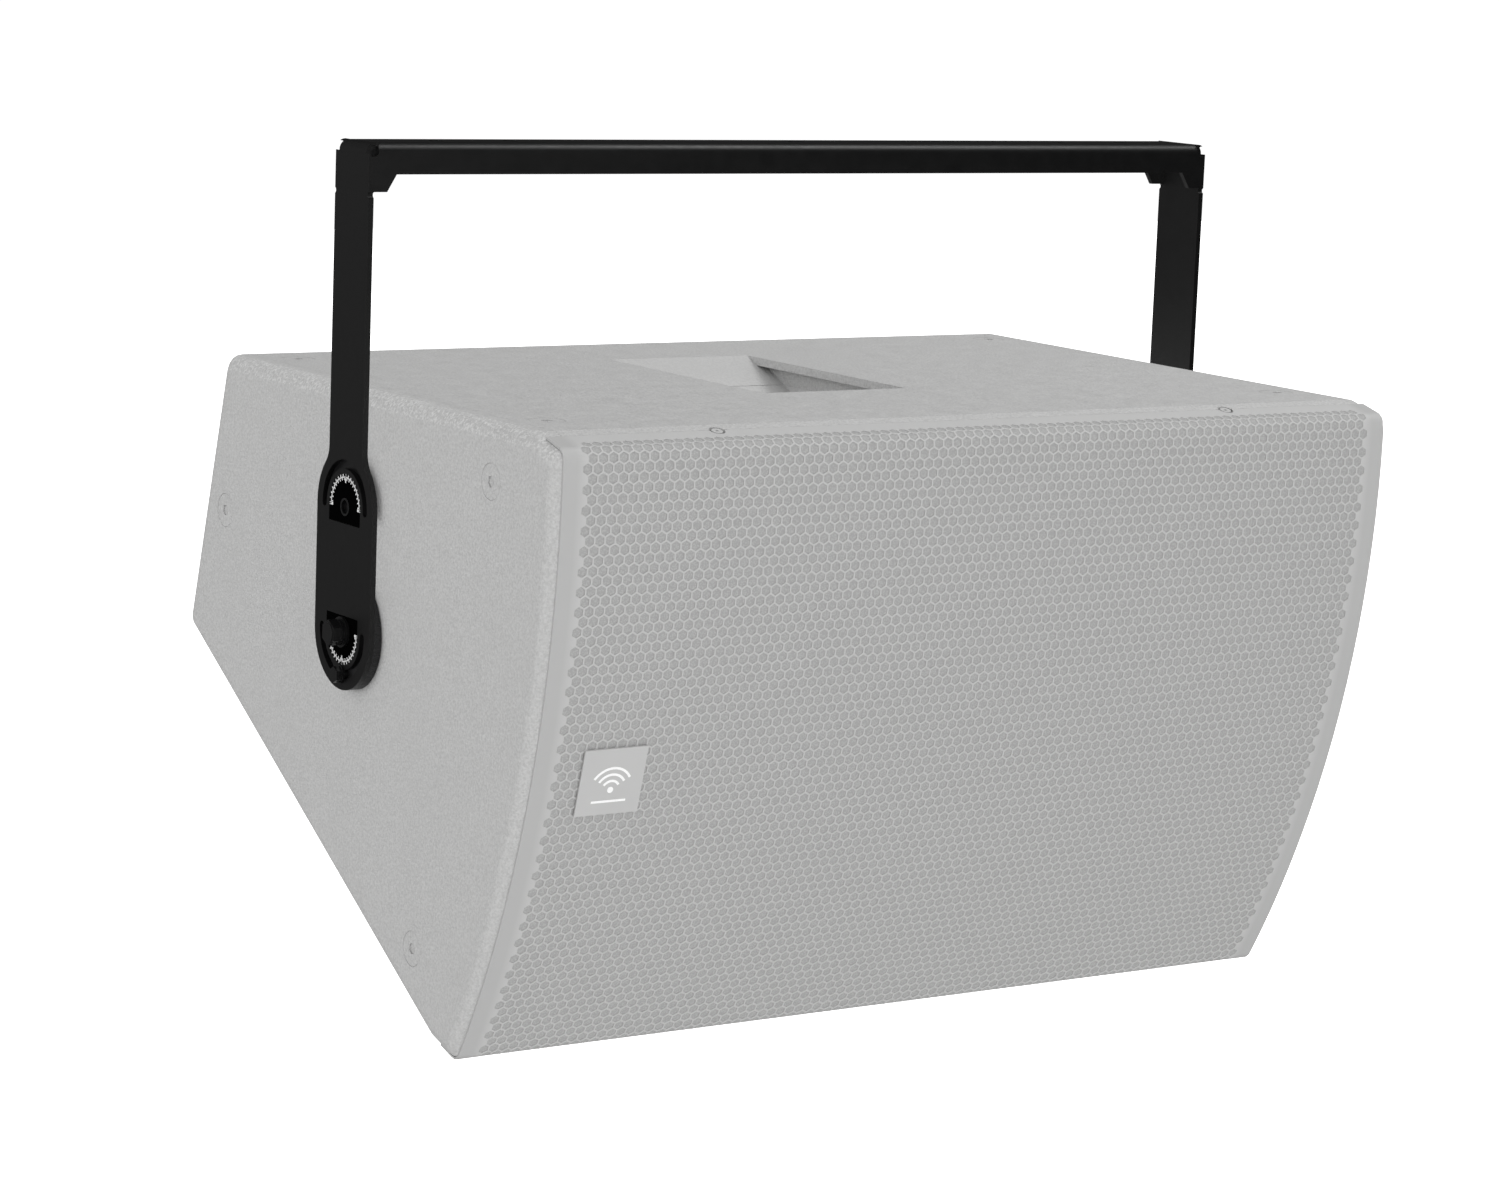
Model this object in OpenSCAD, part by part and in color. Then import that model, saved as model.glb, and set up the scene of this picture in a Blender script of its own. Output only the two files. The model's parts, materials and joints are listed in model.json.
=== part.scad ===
// Constant-curvature array loudspeaker: a wedge-shaped 12-inch two-way cabinet hung in a U-yoke.
// Millimetres. The origin is the yoke's centre hanging hole, at the top face of its crossbar.
// +Z is up, the grille faces -Y, and X runs across the cabinet from its left side to its right.

/* [Cabinet] */
// Width over the two side panels
cab_w = 690; // [680:1:690]
// Angle between the top and bottom panels
wedge = 30; // [28:0.5:30]
// Height of the rear face
rear_h = 211.4; // [210:0.1:213]
// Depth of the sloping stretch, from the rear face to the knee
knee_u = 427.3; // [425:0.1:429]
// Depth from the rear face to the crown of the curved front
cab_d = 490.5; // [489:0.5:492]
// Radius of the curved front
front_r = 800; // [790:1:810]
// Radius where the band turns into the curved front
corner_r = 7.5; // [6:0.5:9]
// Thickness of the plywood panels
panel_t = 18; // [17:0.5:18]
// Rounding of the side panels' long outer edges
edge_r = 14; // [9:0.5:14]
// Reach of the rounding on the side panels' front edges
front_edge_r = 9; // [7:0.5:11]
// Nose-down angle of the cabinet at rest, which brings its top panel level
rest_pitch = 15.2; // [15:0.1:15.5]

/* [Grille] */
// Steel sheet thickness
grille_t = 1.5; // [1:0.1:2]
// Width of the side panels' lip beside the grille
lip_w = 7; // [6:0.5:8]
// Depth from the rear face to the grille flange's rear edge
grille_back_u = 436.2; // [435:0.1:438]
// Distance of the four flange screws from the middle
grille_screw_x = 211; // [180:1:240]
// Thickness of the foam behind the grille
foam_t = 6; // [4:0.5:8]

/* [Yoke] */
// Width over the yoke's arms
yoke_w = 710; // [710:1:712]
// Width of the crossbar and of the arms
yoke_d = 48.2; // [47:0.1:50]
// Sheet thickness
yoke_t = 4; // [4:0.5:4.5]
// Height of the crossbar's front and rear flanges
flange_h = 21; // [18:0.5:21]
// Outside radius of the bends
bend_r = 7; // [6:0.5:8]
// Depth of the lower pivot below the crossbar's top face
pivot_drop = 333.7; // [333:0.1:338]
// Distance between the two pivot holes of an arm
pivot_gap = 86; // [85:0.5:90]
// Radius of the arm's round end
arm_end_r = 40; // [39.5:0.5:42]
// Centreline radius of the angle slots
slot_r = 29.3; // [29:0.1:30.5]
// Width of the angle slots
slot_w = 6.2; // [6.1:0.1:6.6]
// Diameter of the centre hanging hole
centre_hole_d = 13; // [11:0.5:14]
// Diameter of the four outer fixing holes
outer_hole_d = 11; // [9:0.5:12]
// Distance of the inner fixing holes from the middle
inner_fix_x = 234; // [220:2:240]
// Distance of the outer fixing holes from the middle
outer_fix_x = 292; // [280:2:300]

/* [Woofer] */
// Distance of the woofer's axis left of the middle
woofer_x = 158; // [156:1:159]
// Radius of the basket's flange
basket_r = 156; // [154:0.5:157]
// Outer radius of the surround's roll
roll_out_r = 140; // [139:0.5:141]
// Inner radius of the surround's roll, at the cone's edge
roll_in_r = 118; // [116:0.5:120]
// Outer radius of the voice coil former
coil_r = 38; // [37.5:0.1:38.2]

/* [Horn] */
// Distance of the horn's axis right of the middle
horn_x = 185; // [183:1:187]
// Width of the horn's flange
horn_w = 244; // [240:1:246]
// Height of the horn's flange
horn_h = 392; // [386:1:394]
// Depth of the horn behind the baffle
horn_depth = 150; // [145:1:152]

/* [Hidden] */

$fn = 64;
eps = 0.01;                 // overrun of a cutter past the face it cuts
big = 2000;                 // larger than the whole cabinet
half = wedge / 2;
slope = tan(half);
pivot_u = 248.4;            // depth from the rear face to the pivot axis
front_h2 = rear_h / 2 + knee_u * slope;     // half the height at the band
side_x = cab_w / 2;
inner_x = side_x - panel_t;
arc_u = cab_d - front_r;    // centre of the curved front
rear_round = 6;             // rounding of the rear long edges
baffle_u = 425.5;           // baffle's front face
baffle_t = 18;
arm_in = yoke_w / 2 - yoke_t;
arm_out = yoke_w / 2;
gap = 0.05;                 // assembly gap between neighbouring parts
panel_front_u = 445;        // front edge of the top and bottom panels, under the grille's flange
foam_end_u = 446;           // rear edge of the grille foam

// Cabinet frame: X across, -Y forward, origin on the pivot axis. u is the depth from the rear face.
function yy(u) = pivot_u - u;
// Half height of the outline, inset by d, at depth u on the sloping stretch.
function slope_v(u, d = 0) = rear_h / 2 + u * slope - d / cos(half);
// Points of an arc about c, from angle a0 to a1 in n steps.
function arc2(c, r, a0, a1, n) =
    [for (i = [0:n]) let (a = a0 + (a1 - a0) * i / n) c + r * [cos(a), sin(a)]];

// Upper half of the side outline in (u, v), inset by d all round and by df at the curved front.
function corner_centre(d, df) = let (r = front_r - df - corner_r, v = front_h2 - d - corner_r)
    [arc_u + sqrt(r * r - v * v), v];
function upper_outline(d, df) =
    let (c = corner_centre(d, df), a = atan2(c[1], c[0] - arc_u), rr = rear_round)
    concat(
        arc2([d + rr, slope_v(d + rr, d + rr)], rr, 180, 90 + half, 4),
        [[(front_h2 - d - slope_v(0, d)) / slope, front_h2 - d]],
        arc2(c, corner_r, 90, a, 6),
        arc2([arc_u, 0], front_r - df, a, 0, 10)
    );
function flip_v(p) = [for (i = [len(p) - 2:-1:0]) [p[i][0], -p[i][1]]];
function to_yz(p) = [for (q = p) [yy(q[0]), q[1]]];
function outline(d, df) = let (p = upper_outline(d, df)) to_yz(concat(p, flip_v(p)));

// ---------- frames and small shapes ----------

// Puts a shape drawn in the cabinet frame where the cabinet hangs at rest.
module in_cabinet() translate([0, 0, -pivot_drop]) rotate([rest_pitch, 0, 0]) children();
// Extrudes a 2D shape drawn in (y, z) from x0 to x1.
module across(x0, x1) translate([x0, 0, 0]) rotate([90, 0, 90]) linear_extrude(x1 - x0) children();
// Local frame on the top panel: origin at its rear edge, -Y forward along it, +Z out of it.
module on_slope() translate([0, yy(0), rear_h / 2]) rotate([-half, 0, 0]) children();
module on_top() in_cabinet() on_slope() children();
module on_bottom() in_cabinet() mirror([0, 0, 1]) on_slope() children();
// Local frame on the baffle's front face: +Z forward, +Y up.
module on_baffle(x) in_cabinet() translate([x, yy(baffle_u), 0]) rotate([90, 0, 0]) children();
// Local frame on the rear panel's outer face: +Z rearward, +Y up, seen from behind.
module on_rear() in_cabinet() translate([0, yy(0), 0]) rotate([90, 0, 180]) children();
// Both sides of the cabinet, as children drawn on the right-hand side.
module both_sides() for (m = [0, 1]) mirror([m, 0, 0]) children();
// The index bolt's axis in the cabinet frame; at rest the bolt sits straight below the pivot.
module at_index_hole() rotate([-rest_pitch, 0, 0]) translate([0, 0, -slot_r]) children();
module at_pivot() translate([0, 0, -pivot_drop]) children();
module at_index() translate([0, 0, -pivot_drop - slot_r]) children();
// Cylinder along X from x0 to x1.
module rod_x(r, x0, x1, sides = 64) translate([x0, 0, 0]) rotate([0, 90, 0])
    cylinder(r = r, h = x1 - x0, $fn = sides);
module ring_x(r_out, r_in, x0, x1) difference() {
    rod_x(r_out, x0, x1);
    rod_x(r_in, x0 - 1, x1 + 1);
}
// Ring along Z from z0 to z1.
module ring(r_out, r_in, z0, z1) translate([0, 0, z0]) difference() {
    cylinder(r = r_out, h = z1 - z0);
    translate([0, 0, -1]) cylinder(r = r_in, h = z1 - z0 + 2);
}
module disc(r, z0, z1) translate([0, 0, z0]) cylinder(r = r, h = z1 - z0);
// n copies of the children on a circle of radius r.
module around(n, r, a0 = 0) for (i = [0:n - 1])
    rotate([0, 0, a0 + 360 * i / n]) translate([r, 0, 0]) children();
// Centred block between z0 and z1.
module block(w, d, z0, z1) translate([-w / 2, -d / 2, z0]) cube([w, d, z1 - z0]);
// Pan or socket head screw, head up, seat at z = 0.
module socket_screw(r_head, h_head, r_shank, l_shank, key) difference() {
    union() {
        cylinder(r = r_head, h = h_head);
        translate([0, 0, -l_shank]) cylinder(r = r_shank, h = l_shank + eps);
    }
    translate([0, 0, h_head * 0.45]) cylinder(d = key / cos(30), h = h_head, $fn = 6);
}

// ---------- yoke ----------

fix_x = [-outer_fix_x, -inner_fix_x, inner_fix_x, outer_fix_x];
relief_r = 4;               // corner relief holes
relief_in = 3.4;            // their inset from the arm's outer face
gusset_drop = 11.7;         // how far the gussets reach below the flanges
gusset_top = 17;            // gusset width at the flange's lower edge
gusset_low = 10;            // gusset width at its lower end
scale_r = 22.6;             // round side of the angle scales
scale_flat = 11.5;          // flat side of the angle scales
scale_depth = 1;            // pocket the scales sit in
pivot_bore_r = 5.06;
fillet_r = 18;              // where the arm widens into its paddle

// Quarter tube along +X, filling the angle between +Y and +Z.
module quarter_bend(len, r_out, r_in) difference() {
    intersection() {
        rod_x(r_out, 0, len);
        cube([len, r_out, r_out]);
    }
    rod_x(r_in, -1, len + 1);
}

module crossbar() {
    run = arm_out - bend_r;
    deep = yoke_d / 2;
    translate([-run, -deep + bend_r, -yoke_t]) cube([2 * run, yoke_d - 2 * bend_r, yoke_t]);
    for (m = [0, 1]) mirror([0, m, 0]) {
        translate([-run, deep - bend_r, -bend_r]) quarter_bend(2 * run, bend_r, bend_r - yoke_t);
        translate([-run, deep - yoke_t, -flange_h]) cube([2 * run, yoke_t, flange_h - bend_r]);
    }
}

// Flange end that runs down the inside of an arm and is welded to it.
module gusset() translate([0, yoke_d / 2, 0]) rotate([90, 0, 0]) linear_extrude(yoke_t)
    polygon([
        [arm_in + eps, -bend_r], [arm_in + eps, -flange_h - gusset_drop],
        [arm_in - gusset_low, -flange_h - gusset_drop], [arm_in - gusset_top, -flange_h + eps],
        [arm_in - gusset_top, -bend_r]
    ]);

module arm_plate() {
    upper = -pivot_drop + pivot_gap;
    across(arm_in, arm_out) {
        translate([-yoke_d / 2, upper]) square([yoke_d, -upper - bend_r]);
        translate([-arm_end_r, -pivot_drop]) square([2 * arm_end_r, pivot_gap]);
    }
    for (z = [upper, -pivot_drop]) translate([0, 0, z]) rod_x(arm_end_r, arm_in, arm_out, 96);
    for (m = [0, 1]) mirror([0, m, 0]) arm_fillet();
}

// Concave fillet that widens the arm into its round paddle.
module arm_fillet() {
    w = yoke_d / 2;
    cy = w + fillet_r;
    rise = sqrt(pow(arm_end_r + fillet_r, 2) - cy * cy);
    touch = arm_end_r / (arm_end_r + fillet_r);
    translate([0, 0, -pivot_drop + pivot_gap]) difference() {
        across(arm_in, arm_out) polygon([[0, 0], [cy * touch, rise * touch], [w, rise]]);
        translate([0, cy, rise]) rod_x(fillet_r, arm_in - 1, arm_out + 1);
    }
}

// Half-circle slot around a pivot, open side up; the index bolt slides in it.
module angle_slot() {
    rotate([0, 90, 0]) rotate([0, 0, -90]) rotate_extrude(angle = 180)
        translate([slot_r - slot_w / 2, arm_in - 1]) square([slot_w, yoke_t + 2]);
    for (s = [-1, 1]) translate([0, s * slot_r, 0]) rod_x(slot_w / 2, arm_in - 1, arm_out + 1);
}

// D-shaped pocket around a pivot, flat side up.
module scale_shape(r, flat, x0, x1) {
    intersection() {
        rod_x(r, x0, x1);
        translate([x0, -r, -r]) cube([x1 - x0, 2 * r, r]);
    }
    translate([x0, -r, 0]) cube([x1 - x0, 2 * r, flat]);
}

module pivot_cuts(bore_r) {
    rod_x(bore_r, arm_in - 1, arm_out + 1);
    angle_slot();
    scale_shape(scale_r, scale_flat, arm_out - scale_depth, arm_out + 1);
}

module yoke_arm() difference() {
    union() {
        translate([arm_out - bend_r, yoke_d / 2, -bend_r]) rotate([0, 0, -90])
            quarter_bend(yoke_d, bend_r, bend_r - yoke_t);
        arm_plate();
        for (m = [0, 1]) mirror([0, m, 0]) gusset();
    }
    at_pivot() pivot_cuts(pivot_bore_r);
    at_pivot() translate([0, 0, pivot_gap]) mirror([0, 0, 1]) pivot_cuts(pivot_bore_r);
    for (m = [0, 1]) mirror([0, m, 0]) translate([arm_out + 1, yoke_d / 2 + 0.6, -flange_h - gusset_drop - 2])
        rotate([0, -90, 0]) cylinder(r = 2, h = yoke_t + 2);
}

module yoke() color([0.03, 0.03, 0.03]) difference() {
    union() {
        crossbar();
        both_sides() yoke_arm();
    }
    translate([0, 0, -yoke_t - 1]) cylinder(d = centre_hole_d, h = yoke_t + 2);
    for (x = fix_x) translate([x, 0, -yoke_t - 1]) cylinder(d = outer_hole_d, h = yoke_t + 2);
    for (sx = [-1, 1], sy = [-1, 1])
        translate([sx * (arm_out - relief_in), sy * (yoke_d / 2 - 2), -relief_in - 1.9]) rotate([90, 0, 0])
            cylinder(r = relief_r, h = yoke_t + 2.2, center = true);
}

module angle_scales() color([0.01, 0.01, 0.01]) both_sides() {
    at_pivot() angle_scale();
    at_pivot() translate([0, 0, pivot_gap]) mirror([0, 0, 1]) angle_scale();
}
module angle_scale() difference() {
    scale_shape(scale_r - 0.3, scale_flat - 0.3, arm_out - scale_depth, arm_out - scale_depth + 0.5);
    rod_x(pivot_bore_r + 0.8, arm_in, arm_out);
}

// ---------- cabinet shell ----------

rebate = 2;                 // depth of the grille's seat below the outline
rig_points = [[38, 0], [390.4, 170.5], [390.4, -170.5]];    // rigging points on the sides, as [u, v]
top_rig_s = [40, 394];      // rigging points on the top and bottom panels, along the slope
top_rig_x = 305;
cover_r = 12;               // flush screw heads over the rigging points
cover_t = 3;
insert_flange_r = 14;       // flange of a threaded insert, against the side panel's inner face
insert_flange_t = 2;

module rounded_side() hull() {
    for (a = [0:15:90])
        across(side_x - edge_r * (1 - cos(a)) - eps, side_x - edge_r * (1 - cos(a)))
            polygon(outline(edge_r * (1 - sin(a)), front_edge_r * (1 - sin(a))));
    across(inner_x, inner_x + eps) polygon(outline(0, 0));
}

// Everything forward of the grille's seat, as a cutter over x0..x1.
module grille_seat(x0, x1) difference() {
    translate([x0, yy(cab_d + 10), -big / 2]) cube([x1 - x0, cab_d + 10 - grille_back_u + 2 * gap, big]);
    across(x0 - 1, x1 + 1) polygon(outline(rebate, rebate));
}

module side_panel() in_cabinet() difference() {
    rounded_side();
    grille_seat(inner_x - 1, side_x - lip_w);
    for (p = rig_points) translate([0, yy(p[0]), p[1]]) {
        rod_x(cover_r + 0.1, side_x - cover_t, side_x + 1);
        rod_x(8.1, inner_x - 1, side_x);
    }
    rod_x(8.1, inner_x - 1, side_x + 1);
    at_index_hole() rod_x(5, inner_x - 1, side_x + 1);
}
module side_panel_left() color([0.71, 0.71, 0.7]) mirror([1, 0, 0]) side_panel();
module side_panel_right() color([0.71, 0.71, 0.7]) side_panel();

// Region inside the panels, as a 2D shape in (y, z).
inner_v = front_h2 - panel_t;
inner_rear_v = slope_v(0, panel_t);
function inner_upper() = [[0, inner_rear_v], [(inner_v - inner_rear_v) / slope, inner_v], [cab_d, inner_v]];
function inner_outline() =
    let (p = inner_upper()) to_yz(concat(p, [for (i = [2:-1:0]) [p[i][0], -p[i][1]]]));

hand_x0 = -79;              // handle opening, left and right edges
hand_x1 = 41;
hand_s0 = 97;               // handle opening, rear and front edges along the slope
hand_s1 = 303;
hand_w = hand_x1 - hand_x0;
hand_l = hand_s1 - hand_s0;
hand_lip = 6;               // thickness of the opening's rim
hand_under = 8;             // undercut behind the rim
hand_deep = 60;
ramp = 25;                  // slope of the handle's ramp
cup_t = 3;

module wedge_panel() difference() {
    across(-inner_x + gap, inner_x - gap) polygon(outline(0, 0));
    across(-inner_x - 1, inner_x + 1) polygon(inner_outline());
    translate([-big / 2, -big / 2, -big]) cube([big, big, big]);
    translate([-big / 2, yy(panel_front_u) - big, -1]) cube([big, big, big]);
    grille_seat(-inner_x - 1, inner_x + 1);
    grille_screw_places() disc(grille_screw_r + gap, -grille_screw_l - gap, big);
    grille_screw_places() disc(notch_r, 0, big);
}
module panel_rigging() for (s = top_rig_s, sx = [-1, 1]) translate([sx * top_rig_x, -s, 0]) {
    translate([0, 0, -cover_t]) cylinder(r = cover_r + 0.1, h = cover_t + 1);
    translate([0, 0, -12]) cylinder(r = 5.2, h = 12);
}
module top_panel() color([0.69, 0.69, 0.68]) difference() {
    in_cabinet() wedge_panel();
    on_top() {
        panel_rigging();
        translate([hand_x0, -hand_s1, -panel_t - 1]) cube([hand_w, hand_l, panel_t + 2]);
        translate([hand_x0 - hand_under, -hand_s1 - hand_under, -panel_t - 1])
            cube([hand_w + 2 * hand_under, hand_l + hand_under, panel_t + 1 - hand_lip]);
    }
}
module bottom_panel() color([0.69, 0.69, 0.68]) difference() {
    in_cabinet() mirror([0, 0, 1]) wedge_panel();
    on_bottom() panel_rigging();
}

socket_x = 38;              // connector sockets, either side of the middle
module rear_panel() color([0.69, 0.69, 0.68]) in_cabinet() difference() {
    intersection() {
        across(-inner_x, inner_x) polygon(inner_outline());
        translate([-inner_x, yy(panel_t), -big / 2]) cube([2 * inner_x, panel_t, big]);
    }
    translate([0, yy(0), 0]) rotate([90, 0, 180]) {
        block(plate_w + 4, plate_h + 4, plate_z - 2 * gap, 1);
        block(plate_w - 20, plate_h - 20, -panel_t - 1, 1);
        connector_screw_places() disc(plate_screw_r + gap, -plate_screw_l - 1, 1);
    }
}

port_x = 25;
port_v = 135;
port_r = 33;
port_len = 84;
module baffle() color([0.5, 0.42, 0.3]) in_cabinet() difference() {
    intersection() {
        across(-inner_x, inner_x) polygon(inner_outline());
        translate([-inner_x, yy(baffle_u), -big / 2]) cube([2 * inner_x, baffle_t, big]);
    }
    translate([0, yy(baffle_u), 0]) rotate([90, 0, 0]) {
        translate([-woofer_x, 0, -baffle_t - 1]) cylinder(r = roll_out_r + 2, h = baffle_t + 2, $fn = 96);
        for (s = [-1, 1]) translate([port_x, s * port_v, 0]) disc(port_r + 0.1, -baffle_t - 1, 1);
        translate([horn_x, 0, 0]) block(horn_w - 24, horn_h - 24, -baffle_t - 1, 1);
        translate([-woofer_x, 0, 0]) around(8, basket_r - 7, 22.5) disc(2.6, -baffle_t - 1, 1);
        translate([horn_x, 0, 0]) horn_screw_places() disc(2.1, -baffle_t - 1, 1);
    }
}

brace_u = 180;
brace_t = 15;
module brace() color([0.5, 0.42, 0.3]) in_cabinet() difference() {
    intersection() {
        across(-inner_x, inner_x) polygon(inner_outline());
        translate([-inner_x, yy(brace_u + brace_t), -big / 2]) cube([2 * inner_x, brace_t, big]);
    }
    for (x = [-170, 170]) translate([x, yy(brace_u), 0]) rotate([90, 0, 0]) block(220, 190, -1, brace_t + 1);
    translate([0, yy(brace_u), 0]) rotate([90, 0, 0]) block(60, 120, -1, brace_t + 1);
    translate([-115, yy(brace_u + brace_t + 1), 75]) cube([190, brace_t + 2, big]);
}

function ramp_s(n) = hand_s0 - n / tan(ramp);
module handle_cup() color([0.66, 0.66, 0.65]) on_top() {
    x0 = hand_x0 - hand_under;
    x1 = hand_x1 + hand_under;
    s_front = hand_s1 + hand_under;
    skin = cup_t / sin(ramp);
    flange = 15;
    difference() {
        union() {
            across_top(x0 - cup_t, x1 + cup_t) polygon([
                [hand_s0 + 10, -panel_t], [hand_s0 + 10, -panel_t - cup_t],
                [ramp_s(-hand_deep) - skin, -hand_deep - cup_t],
                [s_front + cup_t, -hand_deep - cup_t], [s_front + cup_t, -panel_t]
            ]);
            translate([x0 - flange, -s_front - flange, -panel_t - cup_t])
                cube([x1 - x0 + 2 * flange, s_front + flange - 80, cup_t]);
            across_top(x0, x1) polygon([
                [hand_s0, -hand_lip], [ramp_s(-hand_lip), -hand_lip],
                [ramp_s(-panel_t) + 1, -panel_t - 0.2], [hand_s0, -panel_t - 0.2]
            ]);
            across_top(hand_x0, hand_x1) polygon([
                [hand_s0, 0], [ramp_s(-hand_lip), -hand_lip],
                [ramp_s(-hand_lip - 2), -hand_lip - 2], [hand_s0, -hand_lip - 2]
            ]);
        }
        across_top(x0, x1) polygon([
            [ramp_s(-panel_t + 0.5), -panel_t + 0.5], [ramp_s(-hand_deep), -hand_deep],
            [s_front, -hand_deep], [s_front, -panel_t + 0.5]
        ]);
    }
}
// Extrudes a 2D shape drawn in (distance along the slope, height above it) from x0 to x1.
module across_top(x0, x1) translate([x0, 0, 0]) rotate([90, 0, 90])
    linear_extrude(x1 - x0) mirror([1, 0, 0]) children();

// ---------- grille and badge ----------

grille_x = side_x - lip_w - 0.5;
module grille() color([0.72, 0.72, 0.71]) in_cabinet() difference() {
    across(-grille_x, grille_x) polygon(outline(0, 0));
    across(-grille_x - 1, grille_x + 1) polygon(outline(grille_t, grille_t));
    translate([-big / 2, yy(grille_back_u), -big / 2]) cube([big, big, big]);
    for (sx = [-1, 1], sz = [-1, 1]) translate([sx * grille_screw_x, yy(grille_back_u + 1), sz * front_h2])
        cylinder(r = notch_r, h = 10, center = true);
}
module grille_foam() color([0.12, 0.12, 0.12]) in_cabinet() difference() {
    across(-inner_x + gap, inner_x - gap) polygon(outline(grille_t + 2, grille_t + 0.5));
    across(-inner_x - 1, inner_x + 1) polygon(outline(grille_t + 2 + foam_t, grille_t + 0.5 + foam_t));
    translate([-big / 2, yy(foam_end_u), -big / 2]) cube([big, big, big]);
}
notch_r = 5.6;              // clearance round a flange screw's head
grille_screw_l = 10;
grille_screw_r = 1.9;
// Places of the flange screws' seats along the top edge.
module grille_screw_places() for (sx = [-1, 1])
    translate([sx * grille_screw_x, yy(grille_back_u + 1), front_h2 - rebate]) children();
module grille_screws() color([0.6, 0.6, 0.6]) in_cabinet() for (m = [0, 1]) mirror([0, 0, m])
    grille_screw_places() socket_screw(3.9, 1.9, grille_screw_r, grille_screw_l, 2.5);

badge_w = 47.6;
badge_h = 47.4;
badge_x = -279;
badge_v = -0.6;
module badge() color([0.8, 0.8, 0.79]) in_cabinet()
    translate([badge_x, yy(cab_d + 0.02), badge_v]) rotate([90, 0, 0]) block(badge_w, badge_h, 0, 1.4);

// ---------- rigging and pivot hardware ----------

plate_t = 4;
module rigging_plates() color([0.5, 0.5, 0.52]) both_sides() in_cabinet() difference() {
    union() {
        translate([inner_x - plate_t, -50, -50]) cube([plate_t, 100, 100]);
        rod_x(10, inner_x - plate_t - 12, inner_x - plate_t + eps);
        at_index_hole() rod_x(7, inner_x - plate_t - 6, inner_x - plate_t + eps);
    }
    rod_x(pivot_bore_r, inner_x - 40, inner_x + 1);
    at_index_hole() rod_x(3.05, inner_x - 40, inner_x + 1);
}
module rigging_inserts() color([0.6, 0.6, 0.62]) both_sides() in_cabinet()
    for (p = rig_points) translate([0, yy(p[0]), p[1]]) difference() {
        union() {
            rod_x(8, inner_x - insert_flange_t, side_x - cover_t - 0.5);
            rod_x(insert_flange_r, inner_x - insert_flange_t, inner_x - gap);
        }
        rod_x(5.05, inner_x - insert_flange_t - 1, side_x);
    }
module flush_screw(len) socket_screw(cover_r, cover_t - 0.1, 4.95, len, 7);
module blanking_screws() color([0.7, 0.7, 0.69]) {
    both_sides() in_cabinet() for (p = rig_points)
        translate([side_x - cover_t, yy(p[0]), p[1]]) rotate([0, 90, 0]) flush_screw(14);
    for (s = top_rig_s, sx = [-1, 1]) {
        on_top() translate([sx * top_rig_x, -s, -cover_t]) flush_screw(8);
        on_bottom() translate([sx * top_rig_x, -s, -cover_t]) flush_screw(8);
    }
}

spacer_x = side_x + 0.6;    // inner face of the steel spacer disc
module pivot_pads() color([0.05, 0.05, 0.05]) both_sides() at_pivot() difference() {
    ring_x(36, 5.5, side_x + gap, spacer_x);
    translate([0, 0, -slot_r]) rod_x(3.5, side_x - 1, spacer_x + 1);
}
module pivot_spacers() color([0.12, 0.12, 0.12]) both_sides() at_pivot() difference() {
    ring_x(40, 5.5, spacer_x, arm_in - 0.1);
    translate([0, 0, -slot_r]) rod_x(3.5, spacer_x - 1, arm_in + 1);
}
washer_x = arm_out - scale_depth + 0.55;    // underside of the pivot washer, on the angle scale
module pivot_washers() color([0.05, 0.05, 0.05]) both_sides() at_pivot()
    ring_x(10.6, 5.3, washer_x, washer_x + 2);
module pivot_lock_washers() color([0.04, 0.04, 0.04]) both_sides() at_pivot() difference() {
    ring_x(9, 5.3, washer_x + 2, washer_x + 4.6);
    translate([washer_x + 1, 0, -0.8]) cube([5, 12, 1.6]);
}
pivot_head_x = washer_x + 4.6;
module pivot_bolts() color([0.05, 0.05, 0.05]) both_sides() at_pivot() {
    rod_x(16 / 2 / cos(30), pivot_head_x, pivot_head_x + 6.4, 6);
    rod_x(7.2, pivot_head_x + 6.4 - eps, pivot_head_x + 6.9);
    rod_x(5, inner_x - 18, pivot_head_x + eps);
}
module index_washers() color([0.05, 0.05, 0.05]) both_sides() at_index()
    ring_x(6.2, 3.1, arm_out + gap, arm_out + 1.6);
module index_bolts() color([0.05, 0.05, 0.05]) both_sides() at_index() {
    rod_x(10 / 2 / cos(30), arm_out + 1.6, arm_out + 5.8, 6);
    rod_x(3, inner_x - 10, arm_out + 1.6 + eps);
}

// ---------- woofer ----------

spider_z = -61.6;           // spider's plane behind the baffle's front face
shelf_z = spider_z - 2.45;  // basket's shelf under the spider's rim
gap_z = -82;                // front of the top plate
top_plate_t = 10;
seat_r = 96;                // basket's radius where it meets the motor
magnet_t = 26;
back_z = gap_z - top_plate_t - magnet_t;
module woofer_frame() on_baffle(-woofer_x) children();

module woofer_basket() color([0.1, 0.1, 0.1]) woofer_frame() difference() {
    rotate_extrude($fn = 96) polygon([
        [roll_out_r - 3, 6], [basket_r, 6], [basket_r, 0], [roll_out_r + 1, 0], [roll_out_r + 1, -6],
        [seat_r, -70], [seat_r, gap_z], [44, gap_z], [44, gap_z + 5], [seat_r - 8, gap_z + 5],
        [seat_r - 8, shelf_z - 2], [seat_r - 13, shelf_z - 2], [seat_r - 13, shelf_z], [seat_r - 7, shelf_z],
        [roll_out_r - 8, -4], [roll_out_r - 8, 3], [roll_out_r - 3, 3]
    ]);
    for (i = [0:5]) rotate([0, 0, 60 * i]) translate([80, -38, -64]) cube([80, 76, 50]);
    around(8, basket_r - 7, 22.5) disc(2.8, -1, 7);
}
module woofer_gasket() color([0.06, 0.06, 0.06]) woofer_frame() difference() {
    ring(basket_r - 0.5, roll_out_r + 1.5, 6, 9);
    around(8, basket_r - 7, 22.5) disc(4.9, 5, 10);
}
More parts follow.
